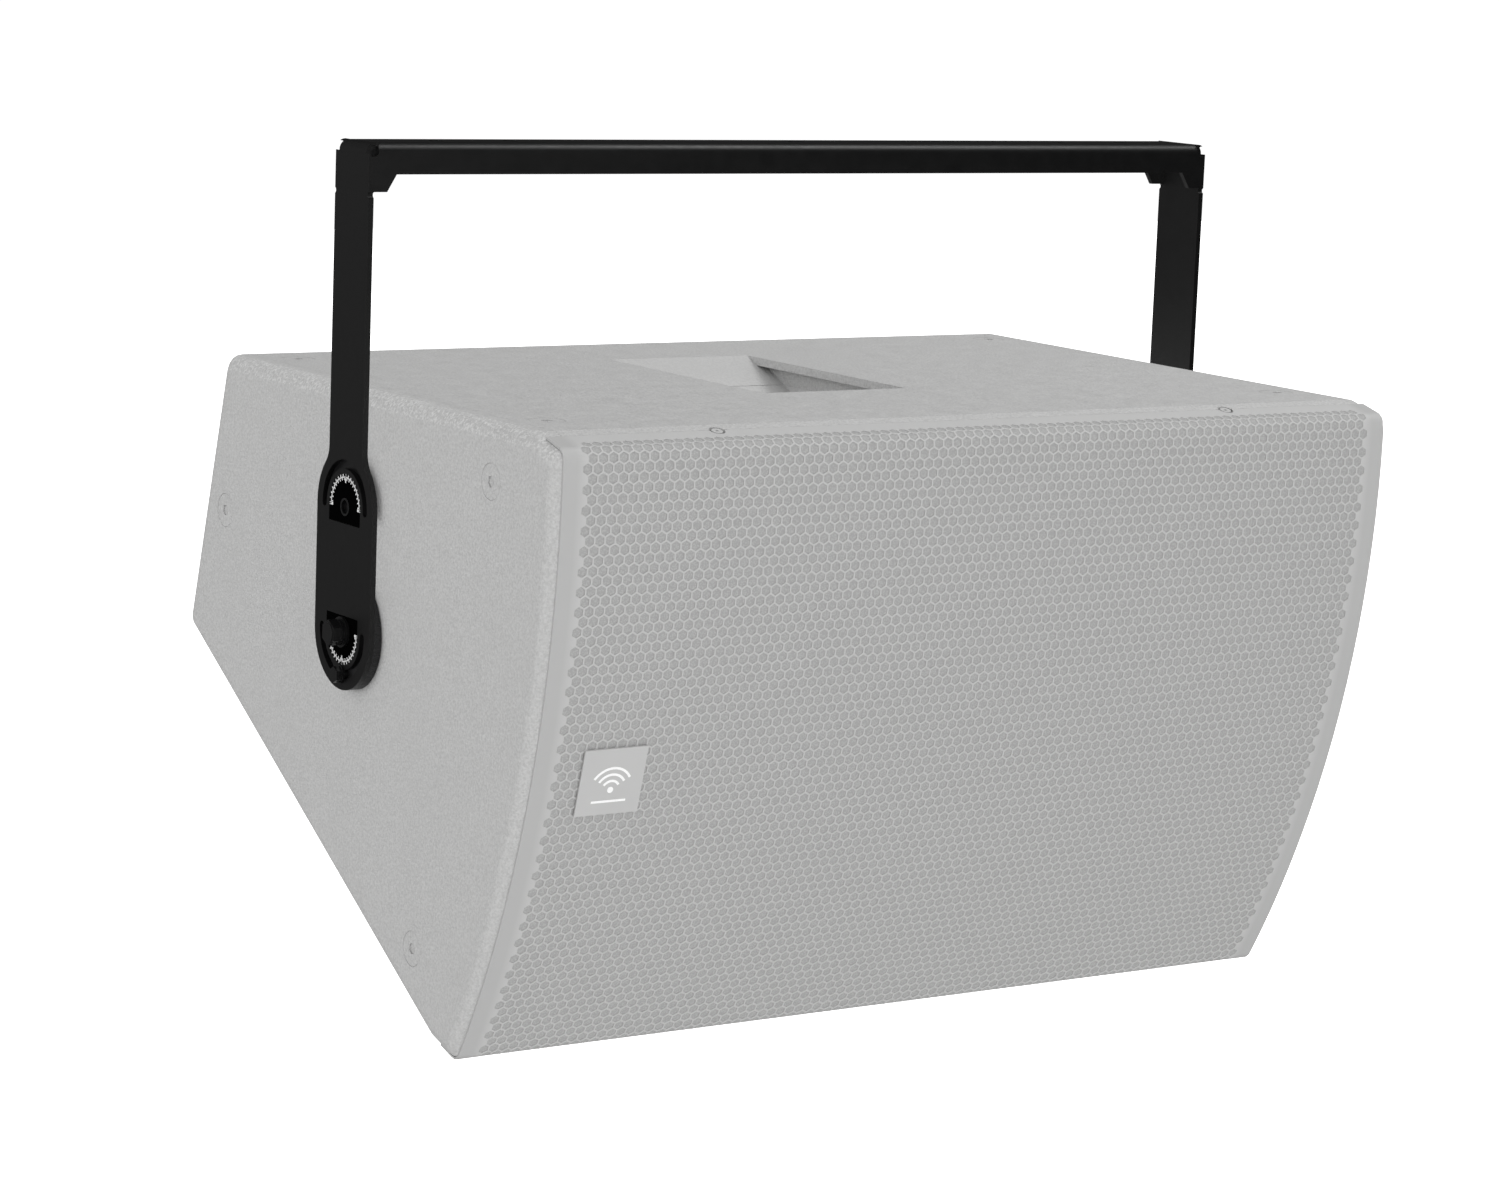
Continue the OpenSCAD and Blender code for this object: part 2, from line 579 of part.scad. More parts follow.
roll_mid = (roll_out_r + roll_in_r) / 2;
roll_r = (roll_out_r - roll_in_r) / 2 - 1.4;
module woofer_surround() color([0.04, 0.04, 0.04]) woofer_frame() rotate_extrude($fn = 96) {
    difference() {
        translate([roll_mid, 6.2]) circle(r = roll_r, $fn = 32);
        translate([roll_mid, 6.2]) circle(r = roll_r - 1.2, $fn = 32);
        translate([roll_mid - 20, -14.8]) square([40, 21]);
    }
    translate([roll_mid + roll_r - 1.2, 6.2]) square([4, 1.2]);
    translate([roll_mid - roll_r - 2.3, 6.2]) square([3.5, 1.2]);
}
module woofer_spider() color([0.7, 0.55, 0.25]) woofer_frame() rotate_extrude($fn = 96)
    difference() {
        polygon(concat(
            [for (r = [coil_r + 0.6:1.5:86]) [r, spider_z + 1.6 * sin(60 * (r - coil_r))]],
            [for (r = [86:-1.5:coil_r + 0.6]) [r, spider_z - 0.8 + 1.6 * sin(60 * (r - coil_r))]]
        ));
        translate([86.2, spider_z - 5]) square([10, 10]);
    }
cone_t = 1;
module woofer_cone() color([0.05, 0.05, 0.05]) woofer_frame() rotate_extrude($fn = 96)
    polygon([
        [coil_r + 0.3, -50], [coil_r + 0.3, -49 + cone_t], [roll_in_r - 1, 4.6], [roll_in_r + 1, 4.6],
        [roll_in_r + 1, 4.6 - cone_t], [roll_in_r - 0.4, 4.6 - cone_t]
    ]);
module woofer_dust_cap() color([0.04, 0.04, 0.04]) woofer_frame() translate([0, 0, -49]) difference() {
    intersection() {
        translate([0, 0, -38]) sphere(r = 62, $fn = 96);
        translate([0, 0, 10.6]) cylinder(r = 60, h = 40);
    }
    translate([0, 0, -38]) sphere(r = 61, $fn = 96);
}
module woofer_coil_former() color([0.75, 0.6, 0.3]) woofer_frame() ring(coil_r, coil_r - 0.5, -101, -46);
module woofer_voice_coil() color([0.7, 0.35, 0.15]) woofer_frame() ring(coil_r + 1, coil_r + 0.02, -100, -76);
module woofer_top_plate() color([0.35, 0.35, 0.36]) woofer_frame()
    ring(84, coil_r + 1.8, gap_z - top_plate_t, gap_z);
module woofer_magnet() color([0.15, 0.15, 0.15]) woofer_frame()
    ring(94, 48, gap_z - top_plate_t - magnet_t, gap_z - top_plate_t);
module woofer_back_plate() color([0.35, 0.35, 0.36]) woofer_frame() difference() {
    union() {
        disc(84, back_z - 11, back_z);
        disc(coil_r - 1.2, back_z - eps, gap_z + 1);
    }
    disc(11, back_z - 12, gap_z + 2);
}
module woofer_screws() color([0.2, 0.2, 0.2]) woofer_frame() around(8, basket_r - 7, 22.5)
    translate([0, 0, 6]) socket_screw(4.6, 3.4, 2.5, 22, 4);

// ---------- horn and compression driver ----------

slot_z = -70;               // where the flare narrows to the waveguide's slot
throat_r = 18;
motor_r = 60;
module horn_frame() on_baffle(horn_x) children();
module horn_screw_places() for (sx = [-1, 1], y = [-horn_h / 2 + 8, -60, 60, horn_h / 2 - 8])
    translate([sx * (horn_w / 2 - 6), y, 0]) children();

module flare(w0, h0, w1, h1, z0, z1) hull() {
    block(w0, h0, z0 - eps, z0);
    block(w1, h1, z1, z1 + eps);
}
module shaper(w, h, r, z0, z1) hull() {
    block(w, h, z0 - eps, z0);
    translate([0, 0, z1]) cylinder(r = r, h = eps, $fn = 32);
}
module waveguide() color([0.08, 0.08, 0.08]) horn_frame() difference() {
    union() {
        block(horn_w, horn_h, 0, 4);
        flare(horn_w - 26, horn_h - 26, 36, horn_h - 60, 0.5, slot_z);
        shaper(36, horn_h - 60, throat_r + 7, slot_z + 1, -horn_depth);
        disc(motor_r, -horn_depth, -horn_depth + 6);
    }
    flare(horn_w - 36, horn_h - 36, 26, horn_h - 70, 4.1, slot_z);
    shaper(26, horn_h - 70, throat_r, slot_z + 1, -horn_depth - 0.2);
    disc(throat_r, -horn_depth - 1, -horn_depth + 7);
    around(4, hf_bolt_circle, 45) disc(3.2, -horn_depth - 1, -horn_depth + 7);
    horn_screw_places() disc(2.3, -1, 5);
}
module waveguide_screws() color([0.2, 0.2, 0.2]) horn_frame() horn_screw_places()
    translate([0, 0, 4]) socket_screw(3.9, 2.6, 2, 18, 3);

hf_coil_r = 37.6;
motor_z = -horn_depth;      // front face of the compression driver
hf_bolt_circle = 51;        // radius of the bolt circle that holds the driver to the horn
hf_cover_z = 66;            // depth of the driver's rear cover behind that face
module hf_pole_plate() color([0.35, 0.35, 0.36]) horn_frame() difference() {
    union() {
        disc(motor_r, motor_z - 12, motor_z);
        disc(36, motor_z - 40, motor_z - 12 + eps);
    }
    disc(throat_r, motor_z - 12, motor_z + 1);
    rotate_extrude() polygon([
        [0, motor_z - 11.9], [throat_r, motor_z - 11.9], [26, motor_z - 41], [0, motor_z - 41]
    ]);
    around(4, hf_bolt_circle, 45) disc(3.2, motor_z - 13, motor_z + 1);
}
module hf_magnet() color([0.15, 0.15, 0.15]) horn_frame() difference() {
    ring(motor_r + 2, 43, motor_z - 30, motor_z - 12);
    around(4, hf_bolt_circle, 45) disc(3.2, motor_z - 31, motor_z - 11);
}
module hf_top_plate() color([0.35, 0.35, 0.36]) horn_frame() difference() {
    ring(motor_r, 38.6, motor_z - 40, motor_z - 30);
    around(4, hf_bolt_circle, 45) disc(3.2, motor_z - 41, motor_z - 29);
}
module hf_diaphragm() color([0.75, 0.75, 0.76]) horn_frame() translate([0, 0, motor_z - 41]) difference() {
    intersection() {
        translate([0, 0, 45]) sphere(r = 60, $fn = 96);
        translate([0, 0, -20]) cylinder(r = hf_coil_r - 0.2, h = 19);
    }
    translate([0, 0, 45]) sphere(r = 59.5, $fn = 96);
}
module hf_voice_coil() color([0.7, 0.35, 0.15]) horn_frame()
    ring(hf_coil_r, hf_coil_r - 0.7, motor_z - 41.9, motor_z - 31);
module hf_rear_cover() color([0.1, 0.1, 0.1]) horn_frame() difference() {
    disc(motor_r, motor_z - hf_cover_z, motor_z - 40);
    disc(46, motor_z - 62, motor_z - 39);
    around(4, hf_bolt_circle, 45) disc(3.2, motor_z - 67, motor_z - 39);
}
module hf_bolts() color([0.3, 0.3, 0.3]) horn_frame() around(4, hf_bolt_circle, 45) {
    disc(3, motor_z - hf_cover_z - 5, motor_z + 6);
    disc(5, motor_z - hf_cover_z - 5, motor_z - hf_cover_z - gap);
}

module port_tubes() color([0.08, 0.08, 0.08]) on_baffle(port_x)
    for (s = [-1, 1]) translate([0, s * port_v, 0]) {
        ring(port_r, port_r - 3, -port_len, 0.5);
        ring(port_r + 2, port_r - 3, 0.5 - eps, 2.5);
    }

// ---------- crossover ----------

board_s = 100;              // middle of the board, along the bottom panel
board_w = 220;
board_d = 120;
board_n = -panel_t - 10;    // board's outer face
module board_frame() on_bottom() translate([0, -board_s, board_n]) mirror([0, 0, 1]) children();
module board_posts() for (sx = [-1, 1], sy = [-1, 1])
    translate([sx * (board_w / 2 - 8), sy * (board_d / 2 - 8), 0]) children();
board_t = 1.6;
module crossover_board() color([0.1, 0.3, 0.15]) board_frame() difference() {
    block(board_w, board_d, 0, board_t);
    board_posts() disc(1.7, -1, 3);
}
module crossover_inductors() color([0.7, 0.4, 0.2]) board_frame() {
    translate([-70, 22, 0]) ring(26, 10, board_t, 30);
    translate([0, 22, 0]) ring(22, 8, board_t, 24);
    translate([-72, -34, 0]) ring(17, 6, board_t, 20);
}
module crossover_capacitors() color([0.2, 0.3, 0.6]) board_frame() for (i = [0:3])
    translate([32 + 17 * i, 2, board_t + 8.1]) rotate([90, 0, 0]) cylinder(r = 8, h = 38);
module crossover_resistors() color([0.9, 0.9, 0.88]) board_frame() for (i = [0:2])
    translate([-30 + 14 * i, -36, 0]) block(10, 40, board_t, board_t + 10);
module crossover_standoffs() color([0.75, 0.65, 0.35]) board_frame() board_posts() {
    disc(4, -10, 0);
    disc(1.6, -eps, board_t + eps);
    disc(3, board_t, board_t + 2);
}

// ---------- connectors, wiring and lining ----------

plate_z = -3;               // connector gasket's inner face, below the rear face
plate_w = 160;
plate_h = 100;
plate_screw_r = 1.6;
plate_screw_l = 14;
module connector_plate() color([0.06, 0.06, 0.06]) on_rear() difference() {
    block(plate_w, plate_h, plate_z + 1, 0);
    for (sx = [-1, 1]) translate([sx * socket_x, 0, 0]) disc(12, plate_z, 1);
    connector_screw_places() disc(2, plate_z, 1);
}
module connector_gasket() color([0.03, 0.03, 0.03]) on_rear() difference() {
    block(plate_w, plate_h, plate_z, plate_z + 1);
    block(plate_w - 18, plate_h - 18, plate_z - 1, plate_z + 2);
    connector_screw_places() disc(2, plate_z - 1, 1);
}
module connector_screw_places() for (sx = [-1, 1], sy = [-1, 1])
    translate([sx * (plate_w / 2 - 5), sy * (plate_h / 2 - 5), 0]) children();
module connector_sockets() color([0.1, 0.1, 0.12]) on_rear()
    for (sx = [-1, 1]) translate([sx * socket_x, 0, 0]) difference() {
        union() {
            block(26, 31, 0, 1.8);
            disc(11.9, -28, 0.5);
        }
        ring(9.5, 5.5, -20, 3);
        disc(2.5, -12, 3);
    }
module connector_screws() color([0.3, 0.3, 0.3]) on_rear() connector_screw_places()
    socket_screw(3.4, 1.9, plate_screw_r, plate_screw_l, 2);

// Round cable through a list of points.
module cable(pts, r) for (i = [0:len(pts) - 2]) {
    d = pts[i + 1] - pts[i];
    translate(pts[i]) {
        sphere(r = r + 0.5, $fn = 24);
        rotate([0, acos(d[2] / norm(d)), atan2(d[1], d[0])]) cylinder(r = r, h = norm(d), $fn = 24);
    }
}
module wiring() color([0.15, 0.1, 0.1]) in_cabinet() {
    r = 3.5;
    cable([[-socket_x, yy(33), 0], [-socket_x, yy(52), -10], [-60, yy(70), -46], [-60, yy(80), -61]], r);
    cable([
        [-108, yy(100), -86], [-120, yy(135), -72], [-130, yy(235), -70],
        [-149, yy(290), -106], [-150, yy(345), -109]
    ], r);
    cable([
        [108, yy(97.5), -96], [128, yy(117.5), -60], [150, yy(157.5), -30],
        [horn_x, yy(187.5), -10], [horn_x, yy(208.5), -8]
    ], r);
}
module damping_lining() color([0.3, 0.3, 0.32]) in_cabinet() difference() {
    translate([-inner_x + 10, yy(panel_t + 20), -82]) cube([2 * inner_x - 20, 20, 164]);
    translate([-85, yy(panel_t + 21), -55]) cube([170, 22, 110]);
}

yoke();
angle_scales();
side_panel_left();
side_panel_right();
top_panel();
bottom_panel();
rear_panel();
baffle();
brace();
handle_cup();
grille();
grille_foam();
grille_screws();
badge();
rigging_plates();
rigging_inserts();
blanking_screws();
pivot_pads();
pivot_spacers();
pivot_washers();
pivot_lock_washers();
pivot_bolts();
index_washers();
index_bolts();
woofer_basket();
woofer_gasket();
woofer_surround();
woofer_spider();
woofer_cone();
woofer_dust_cap();
woofer_coil_former();
woofer_voice_coil();
woofer_top_plate();
woofer_magnet();
woofer_back_plate();
woofer_screws();
waveguide();
waveguide_screws();
hf_pole_plate();
hf_magnet();
hf_top_plate();
hf_diaphragm();
hf_voice_coil();
hf_rear_cover();
hf_bolts();
port_tubes();
crossover_board();
crossover_inductors();
crossover_capacitors();
crossover_resistors();
crossover_standoffs();
connector_plate();
connector_gasket();
connector_sockets();
connector_screws();
wiring();
damping_lining();
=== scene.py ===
import json
import math

import bpy
from mathutils import Matrix, Vector


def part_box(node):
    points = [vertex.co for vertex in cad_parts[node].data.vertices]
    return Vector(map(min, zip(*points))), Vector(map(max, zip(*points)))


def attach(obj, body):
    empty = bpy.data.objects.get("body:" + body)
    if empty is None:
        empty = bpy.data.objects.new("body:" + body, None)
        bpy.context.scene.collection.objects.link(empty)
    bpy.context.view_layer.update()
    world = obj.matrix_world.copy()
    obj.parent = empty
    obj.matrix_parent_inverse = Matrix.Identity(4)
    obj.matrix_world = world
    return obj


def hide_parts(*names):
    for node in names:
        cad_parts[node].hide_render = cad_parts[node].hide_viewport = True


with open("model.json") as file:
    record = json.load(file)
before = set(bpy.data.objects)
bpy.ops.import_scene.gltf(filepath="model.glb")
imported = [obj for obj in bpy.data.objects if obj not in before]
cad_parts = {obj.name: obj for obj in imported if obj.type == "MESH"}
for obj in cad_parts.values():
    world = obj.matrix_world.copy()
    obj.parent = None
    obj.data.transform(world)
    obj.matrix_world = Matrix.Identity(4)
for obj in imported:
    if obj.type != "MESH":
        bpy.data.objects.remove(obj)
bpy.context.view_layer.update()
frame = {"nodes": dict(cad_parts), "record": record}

MM = 0.001

# Cabinet frame, as the CAD has it: u is the depth from the rear face, v the height over the pivot axis.
REST_PITCH = math.radians(15.2)
PIVOT_Z = -333.7 * MM
PIVOT_GAP = 86 * MM
PIVOT_U = 248.4 * MM
FORWARD = Vector((0, -math.cos(REST_PITCH), -math.sin(REST_PITCH)))
UPWARD = Vector((0, -math.sin(REST_PITCH), math.cos(REST_PITCH)))

# Outline of the grille: flat flange, corner round, curved front, and the same mirrored below.
CROWN_U = 490.5 * MM
FRONT_R = 800 * MM
CORNER_R = 7.5 * MM
BAND_V = (105.7 + 427.3 * math.tan(math.radians(15))) * MM
FLANGE_U = 436.2 * MM
SHEET_T = 1.5 * MM

# Perforation: pointed-top hexagons in rows across the cabinet.
HOLE_PITCH = 7.63 * MM
ROW_PITCH = 6.631 * MM
HOLE_ACROSS = 6.3 * MM
ROWS = 70
ROW_RISE = 1.9 * MM         # how far the rows sit above the middle
LONG_ROW = 85
BURR = 0.22 * MM
NOTCH_X = 211 * MM          # screw notches in the flanges' rear edges
NOTCH_R = 5.6 * MM
NOTCH_S = 1 * MM
FLANGE_JOIN = 7.5 * MM      # where the plain strip meets the strip round the first holes
EDGE_OVERLAP = 0.8 * MM     # the sheet's ends reach under the side lips


def cab(x, u, v):
    """Point of the cabinet frame at rest, in the row frame."""
    return Vector((x, 0, PIVOT_Z)) + FORWARD * (u - PIVOT_U) + UPWARD * v


# ---------- mesh helpers ----------

def add_mesh(name, verts, faces, body, material, smooth_angle=30):
    mesh = bpy.data.meshes.new(name)
    mesh.from_pydata([tuple(v) for v in verts], [], faces)
    mesh.validate()
    mesh.polygons.foreach_set("use_smooth", [True] * len(mesh.polygons))
    mesh.set_sharp_from_angle(angle=math.radians(smooth_angle))
    mesh.materials.append(material)
    obj = bpy.data.objects.new(name, mesh)
    bpy.context.scene.collection.objects.link(obj)
    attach(obj, body)
    return obj


class Sheet:
    """Collects points given as (x, s, depth) on the grille's outline, shared where they coincide."""

    def __init__(self):
        self.index = {}
        self.verts = []
        self.faces = []

    def point(self, x, s, d):
        key = (round(x / MM, 3), round(s / MM, 3), round(d / MM, 3))
        if key not in self.index:
            self.index[key] = len(self.verts)
            self.verts.append(grille_point(x, s, d))
        return self.index[key]

    def face(self, *corners):
        ids = [self.point(*c) for c in corners]
        if len(set(ids)) > 2:
            self.faces.append(list(dict.fromkeys(ids)))


# ---------- grille outline ----------

CENTRE_U = CROWN_U - FRONT_R
CORNER_V = BAND_V - CORNER_R
CORNER_U = CENTRE_U + math.sqrt((FRONT_R - CORNER_R) ** 2 - CORNER_V ** 2)
FRONT_ANGLE = math.atan2(CORNER_V, CORNER_U - CENTRE_U)
FLAT_LEN = CORNER_U - FLANGE_U
CORNER_LEN = CORNER_R * (math.pi / 2 - FRONT_ANGLE)
HALF_LEN = FLAT_LEN + CORNER_LEN + FRONT_R * FRONT_ANGLE


def grille_point(x, s, depth):
    """Point s along the outline from the top flange's rear edge, depth under the outer skin."""
    low = s > HALF_LEN
    if low:
        s = 2 * HALF_LEN - s
    if s < FLAT_LEN:
        u, v, angle = FLANGE_U + s, BAND_V, math.pi / 2
    elif s < FLAT_LEN + CORNER_LEN:
        angle = math.pi / 2 - (s - FLAT_LEN) / CORNER_R
        u, v = CORNER_U + CORNER_R * math.cos(angle), CORNER_V + CORNER_R * math.sin(angle)
    else:
        angle = FRONT_ANGLE - (s - FLAT_LEN - CORNER_LEN) / FRONT_R
        u, v = CENTRE_U + FRONT_R * math.cos(angle), FRONT_R * math.sin(angle)
    u, v = u - depth * math.cos(angle), v - depth * math.sin(angle)
    return cab(x, u, -v if low else v)


# ---------- perforated grille ----------

def row_places():
    """(s, x positions) of each row of holes."""
    first = HALF_LEN - ROW_PITCH * (ROWS - 1) / 2 - ROW_RISE
    for j in range(ROWS):
        count = LONG_ROW if j % 2 else LONG_ROW - 1
        start = -HOLE_PITCH * (count - 1) / 2
        yield first + j * ROW_PITCH, [start + i * HOLE_PITCH for i in range(count)]


def hexagon(x, s, half_w, depth):
    """Corners of a pointed-top hexagon on the lattice, from its top point."""
    k = half_w / (HOLE_PITCH / 2)
    tall, side = 2 / 3 * ROW_PITCH * k, ROW_PITCH / 3 * k
    return [(x, s - tall, depth), (x + half_w, s - side, depth), (x + half_w, s + side, depth),
            (x, s + tall, depth), (x - half_w, s + side, depth), (x - half_w, s - side, depth)]


def perforate(sheet, x, s):
    """One hole: web, rolled edge, wall and back web."""
    hole = HOLE_ACROSS / 2
    rings = [hexagon(x, s, HOLE_PITCH / 2, 0), hexagon(x, s, hole + BURR, 0), hexagon(x, s, hole, BURR),
             hexagon(x, s, hole, SHEET_T), hexagon(x, s, HOLE_PITCH / 2, SHEET_T)]
    for a, b in zip(rings, rings[1:]):
        for i in range(6):
            sheet.face(a[i], a[(i + 1) % 6], b[(i + 1) % 6], b[i])


def side_margin(sheet, rows, edge, sign):
    """Plain strip between the last holes and the sheet's end, on one side."""
    line = []
    for s, xs in rows:
        x = (xs[-1] if sign > 0 else xs[0]) + sign * HOLE_PITCH / 2
        line += [(x, s - ROW_PITCH / 3), (x, s + ROW_PITCH / 3)]
    for (xa, sa), (xb, sb) in zip(line, line[1:]):
        for d in (0, SHEET_T):
            sheet.face((xa, sa, d), (xb, sb, d), (edge, sb, d), (edge, sa, d))
        sheet.face((edge, sa, 0), (edge, sb, 0), (edge, sb, SHEET_T), (edge, sa, SHEET_T))
    return line[0], line[-1]


def notch_depth(x):
    """How far the flange's rear edge is cut back at x."""
    off = abs(abs(x) - NOTCH_X)
    return NOTCH_S + math.sqrt(NOTCH_R ** 2 - off ** 2) if off < NOTCH_R else 0


def flange(sheet, row, edge, top):
    """Plain strip behind the first row of holes, with a notch round each screw."""
    s_row, xs = row
    total = 2 * HALF_LEN
    sgn = 1 if top else -1
    join = FLANGE_JOIN if top else total - FLANGE_JOIN

    def at(x, s):
        return (x, s if top else total - s)

    zigzag = [(-edge, s_row - sgn * ROW_PITCH / 3)]
    for x in xs:
        zigzag += [(x - HOLE_PITCH / 2, s_row - sgn * ROW_PITCH / 3), (x, s_row - sgn * 2 / 3 * ROW_PITCH)]
    zigzag += [(xs[-1] + HOLE_PITCH / 2, s_row - sgn * ROW_PITCH / 3), (edge, s_row - sgn * ROW_PITCH / 3)]
    for (xa, sa), (xb, sb) in zip(zigzag, zigzag[1:]):
        for d in (0, SHEET_T):
            sheet.face((xa, sa, d), (xb, sb, d), (xb, join, d), (xa, join, d))
    for x in (-edge, edge):
        sheet.face((x, zigzag[0][1], 0), (x, join, 0), (x, join, SHEET_T), (x, zigzag[0][1], SHEET_T))
    rear = sorted([x for x, s in zigzag]
                  + [sx * NOTCH_X + NOTCH_R * math.cos(math.pi * i / 16) for sx in (-1, 1) for i in range(17)])
    for xa, xb in zip(rear, rear[1:]):
        sa, sb = notch_depth(xa), notch_depth(xb)
        for d in (0, SHEET_T):
            sheet.face((xa, join, d), (xb, join, d), (*at(xb, sb), d), (*at(xa, sa), d))
        sheet.face((*at(xa, sa), 0), (*at(xb, sb), 0), (*at(xb, sb), SHEET_T), (*at(xa, sa), SHEET_T))
    for x in (-edge, edge):
        sheet.face((x, join, 0), (*at(x, 0), 0), (*at(x, 0), SHEET_T), (x, join, SHEET_T))


def build_grille(material):
    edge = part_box("grille")[1].x + EDGE_OVERLAP
    sheet = Sheet()
    rows = list(row_places())
    for s, xs in rows:
        for x in xs:
            perforate(sheet, x, s)
    for sign in (-1, 1):
        side_margin(sheet, rows, sign * edge, sign)
    flange(sheet, rows[0], edge, True)
    flange(sheet, rows[-1], edge, False)
    obj = add_mesh("grille_perforated", sheet.verts, sheet.faces, "cabinet", material, 40)
    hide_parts("grille")
    return obj


def build_foam_face(material):
    """Front skin of the foam, pressed a little way into the perforation."""
    edge, depth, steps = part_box("grille")[1].x - 2 * MM, 0.55 * MM, 160
    first, last = FLAT_LEN / 2, 2 * HALF_LEN - FLAT_LEN / 2
    sheet = Sheet()
    stops = [first + (last - first) * k / steps for k in range(steps + 1)]
    for a, b in zip(stops, stops[1:]):
        sheet.face((-edge, a, depth), (edge, a, depth), (edge, b, depth), (-edge, b, depth))
    return add_mesh("foam_face", sheet.verts, sheet.faces, "cabinet", material)


# ---------- badge mark and angle scales ----------

def prism(verts, faces, outline, place, low, high):
    """Extrudes a convex flat outline between two heights; place(a, b, h) gives a point."""
    n, base = len(outline), len(verts)
    verts += [place(a, b, h) for h in (low, high) for a, b in outline]
    faces += [list(range(base, base + n))[::-1], list(range(base + n, base + 2 * n))]
    faces += [[base + i, base + (i + 1) % n, base + n + (i + 1) % n, base + n + i] for i in range(n)]


def arc_band(verts, faces, r, width, a0, a1, steps, place, low, high):
    """A curved bar as a row of short prisms that share their ends."""
    for i in range(steps):
        angles = [math.radians(a0 + (a1 - a0) * (i + k) / steps) for k in (0, 1)]
        outline = [((r + w) * math.cos(a), (r + w) * math.sin(a))
                   for w, pair in ((-width / 2, angles), (width / 2, angles[::-1])) for a in pair]
        prism(verts, faces, outline, place, low, high)


def build_badge_mark(material):
    lo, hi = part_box("badge")
    middle = cab((lo.x + hi.x) / 2, CROWN_U + 1.42 * MM, -0.6 * MM)

    def place(a, b, h):
        return middle + Vector((a, 0, 0)) + UPWARD * b + FORWARD * h

    def lowered(a, b, h):
        return place(a, b - 6 * MM, h)

    verts, faces = [], []
    low, high = -0.1 * MM, 0.22 * MM
    for k in range(3):
        arc_band(verts, faces, (6.5 + 4.6 * k) * MM, 1.7 * MM, 32, 148, 14, lowered, low, high)
    turns = [math.radians(a) for a in range(0, 360, 15)]
    prism(verts, faces, [(2.2 * MM * math.cos(a), 2.2 * MM * math.sin(a)) for a in turns], lowered, low, high)
    bar_w, bar_low, bar_high = 13 * MM, -15 * MM, -13.4 * MM
    bar = [(-bar_w, bar_low), (bar_w, bar_low), (bar_w, bar_high), (-bar_w, bar_high)]
    prism(verts, faces, bar, place, low, high)
    return add_mesh("badge_mark", verts, faces, "cabinet", material)


SCALE_R = 20.3 * MM
TICK_REACH = 2.1 * MM
LABEL_X = 354.5 * MM        # face of the angle labels
SHADE_DISC_X = 350.95 * MM     # inner face of the arms


def build_scale(material, side, pivot_z, up, name):
    """White tick arc round one pivot hole of one arm."""
    def place(a, b, h):
        return Vector((side * (LABEL_X + h), a, pivot_z + up * b))

    def tick(angle, inner, outer, width):
        c, s = math.cos(math.radians(angle)), math.sin(math.radians(angle))
        corners = [(inner, -width / 2), (outer, -width / 2), (outer, width / 2), (inner, width / 2)]
        prism(verts, faces, [(r * c - t * s, r * s + t * c) for r, t in corners], place, low, high)

    verts, faces = [], []
    low, high = -0.05 * MM, 0.08 * MM
    arc_band(verts, faces, SCALE_R, 0.9 * MM, 0, 180, 48, place, low, high)
    for i in range(37):
        inner, outer = (TICK_REACH, 0) if i % 2 else (0, TICK_REACH)
        tick(i * 5, SCALE_R - inner, SCALE_R + outer, 0.9 * MM)
    tick(90, SCALE_R - 3.9 * MM, SCALE_R + 1.9 * MM, 1.2 * MM)
    for end in (0, 180):
        tick(end, SCALE_R - 2.6 * MM, SCALE_R + 2.1 * MM, 1.8 * MM)
    return add_mesh(name, verts, faces, "yoke", material)


def build_slot_shade_disc(material, side, name):
    """Thin dark disc on an arm's inner face, put behind the slot of the free pivot hole as painted shade."""
    def place(a, b, h):
        return Vector((side * (SHADE_DISC_X + h), a, PIVOT_Z + PIVOT_GAP + b))

    verts, faces = [], []
    arc_band(verts, faces, 26 * MM, 16 * MM, -8, 188, 36, place, -0.3 * MM, 0)
    return add_mesh(name, verts, faces, "yoke", material)


def build_plug(material, side, name):
    """Dark plug with a raised rim in an arm's free pivot hole."""
    def place(a, b, h):
        return Vector((side * (LABEL_X + h), a, PIVOT_Z + PIVOT_GAP + b))

    verts, faces = [], []
    for r_mid, width, top in ((5.5 * MM, 1.3 * MM, 0.45 * MM), (2.5 * MM, 5 * MM, -2 * MM)):
        arc_band(verts, faces, r_mid, width, 0, 360, 32, place, -3 * MM, top)
    return add_mesh(name, verts, faces, "yoke", material)


# Rigging points: (u, v) on the sides, distance along the slope on the top and bottom.
WEDGE_HALF = math.radians(15)
REAR_HALF = 105.7 * MM
SIDE_POINTS = ((38 * MM, 0), (390.4 * MM, 170.5 * MM), (390.4 * MM, -170.5 * MM))
SLOPE_POINTS = (40 * MM, 394 * MM)
SLOPE_X = 305 * MM
SIDE_X = 344.9 * MM


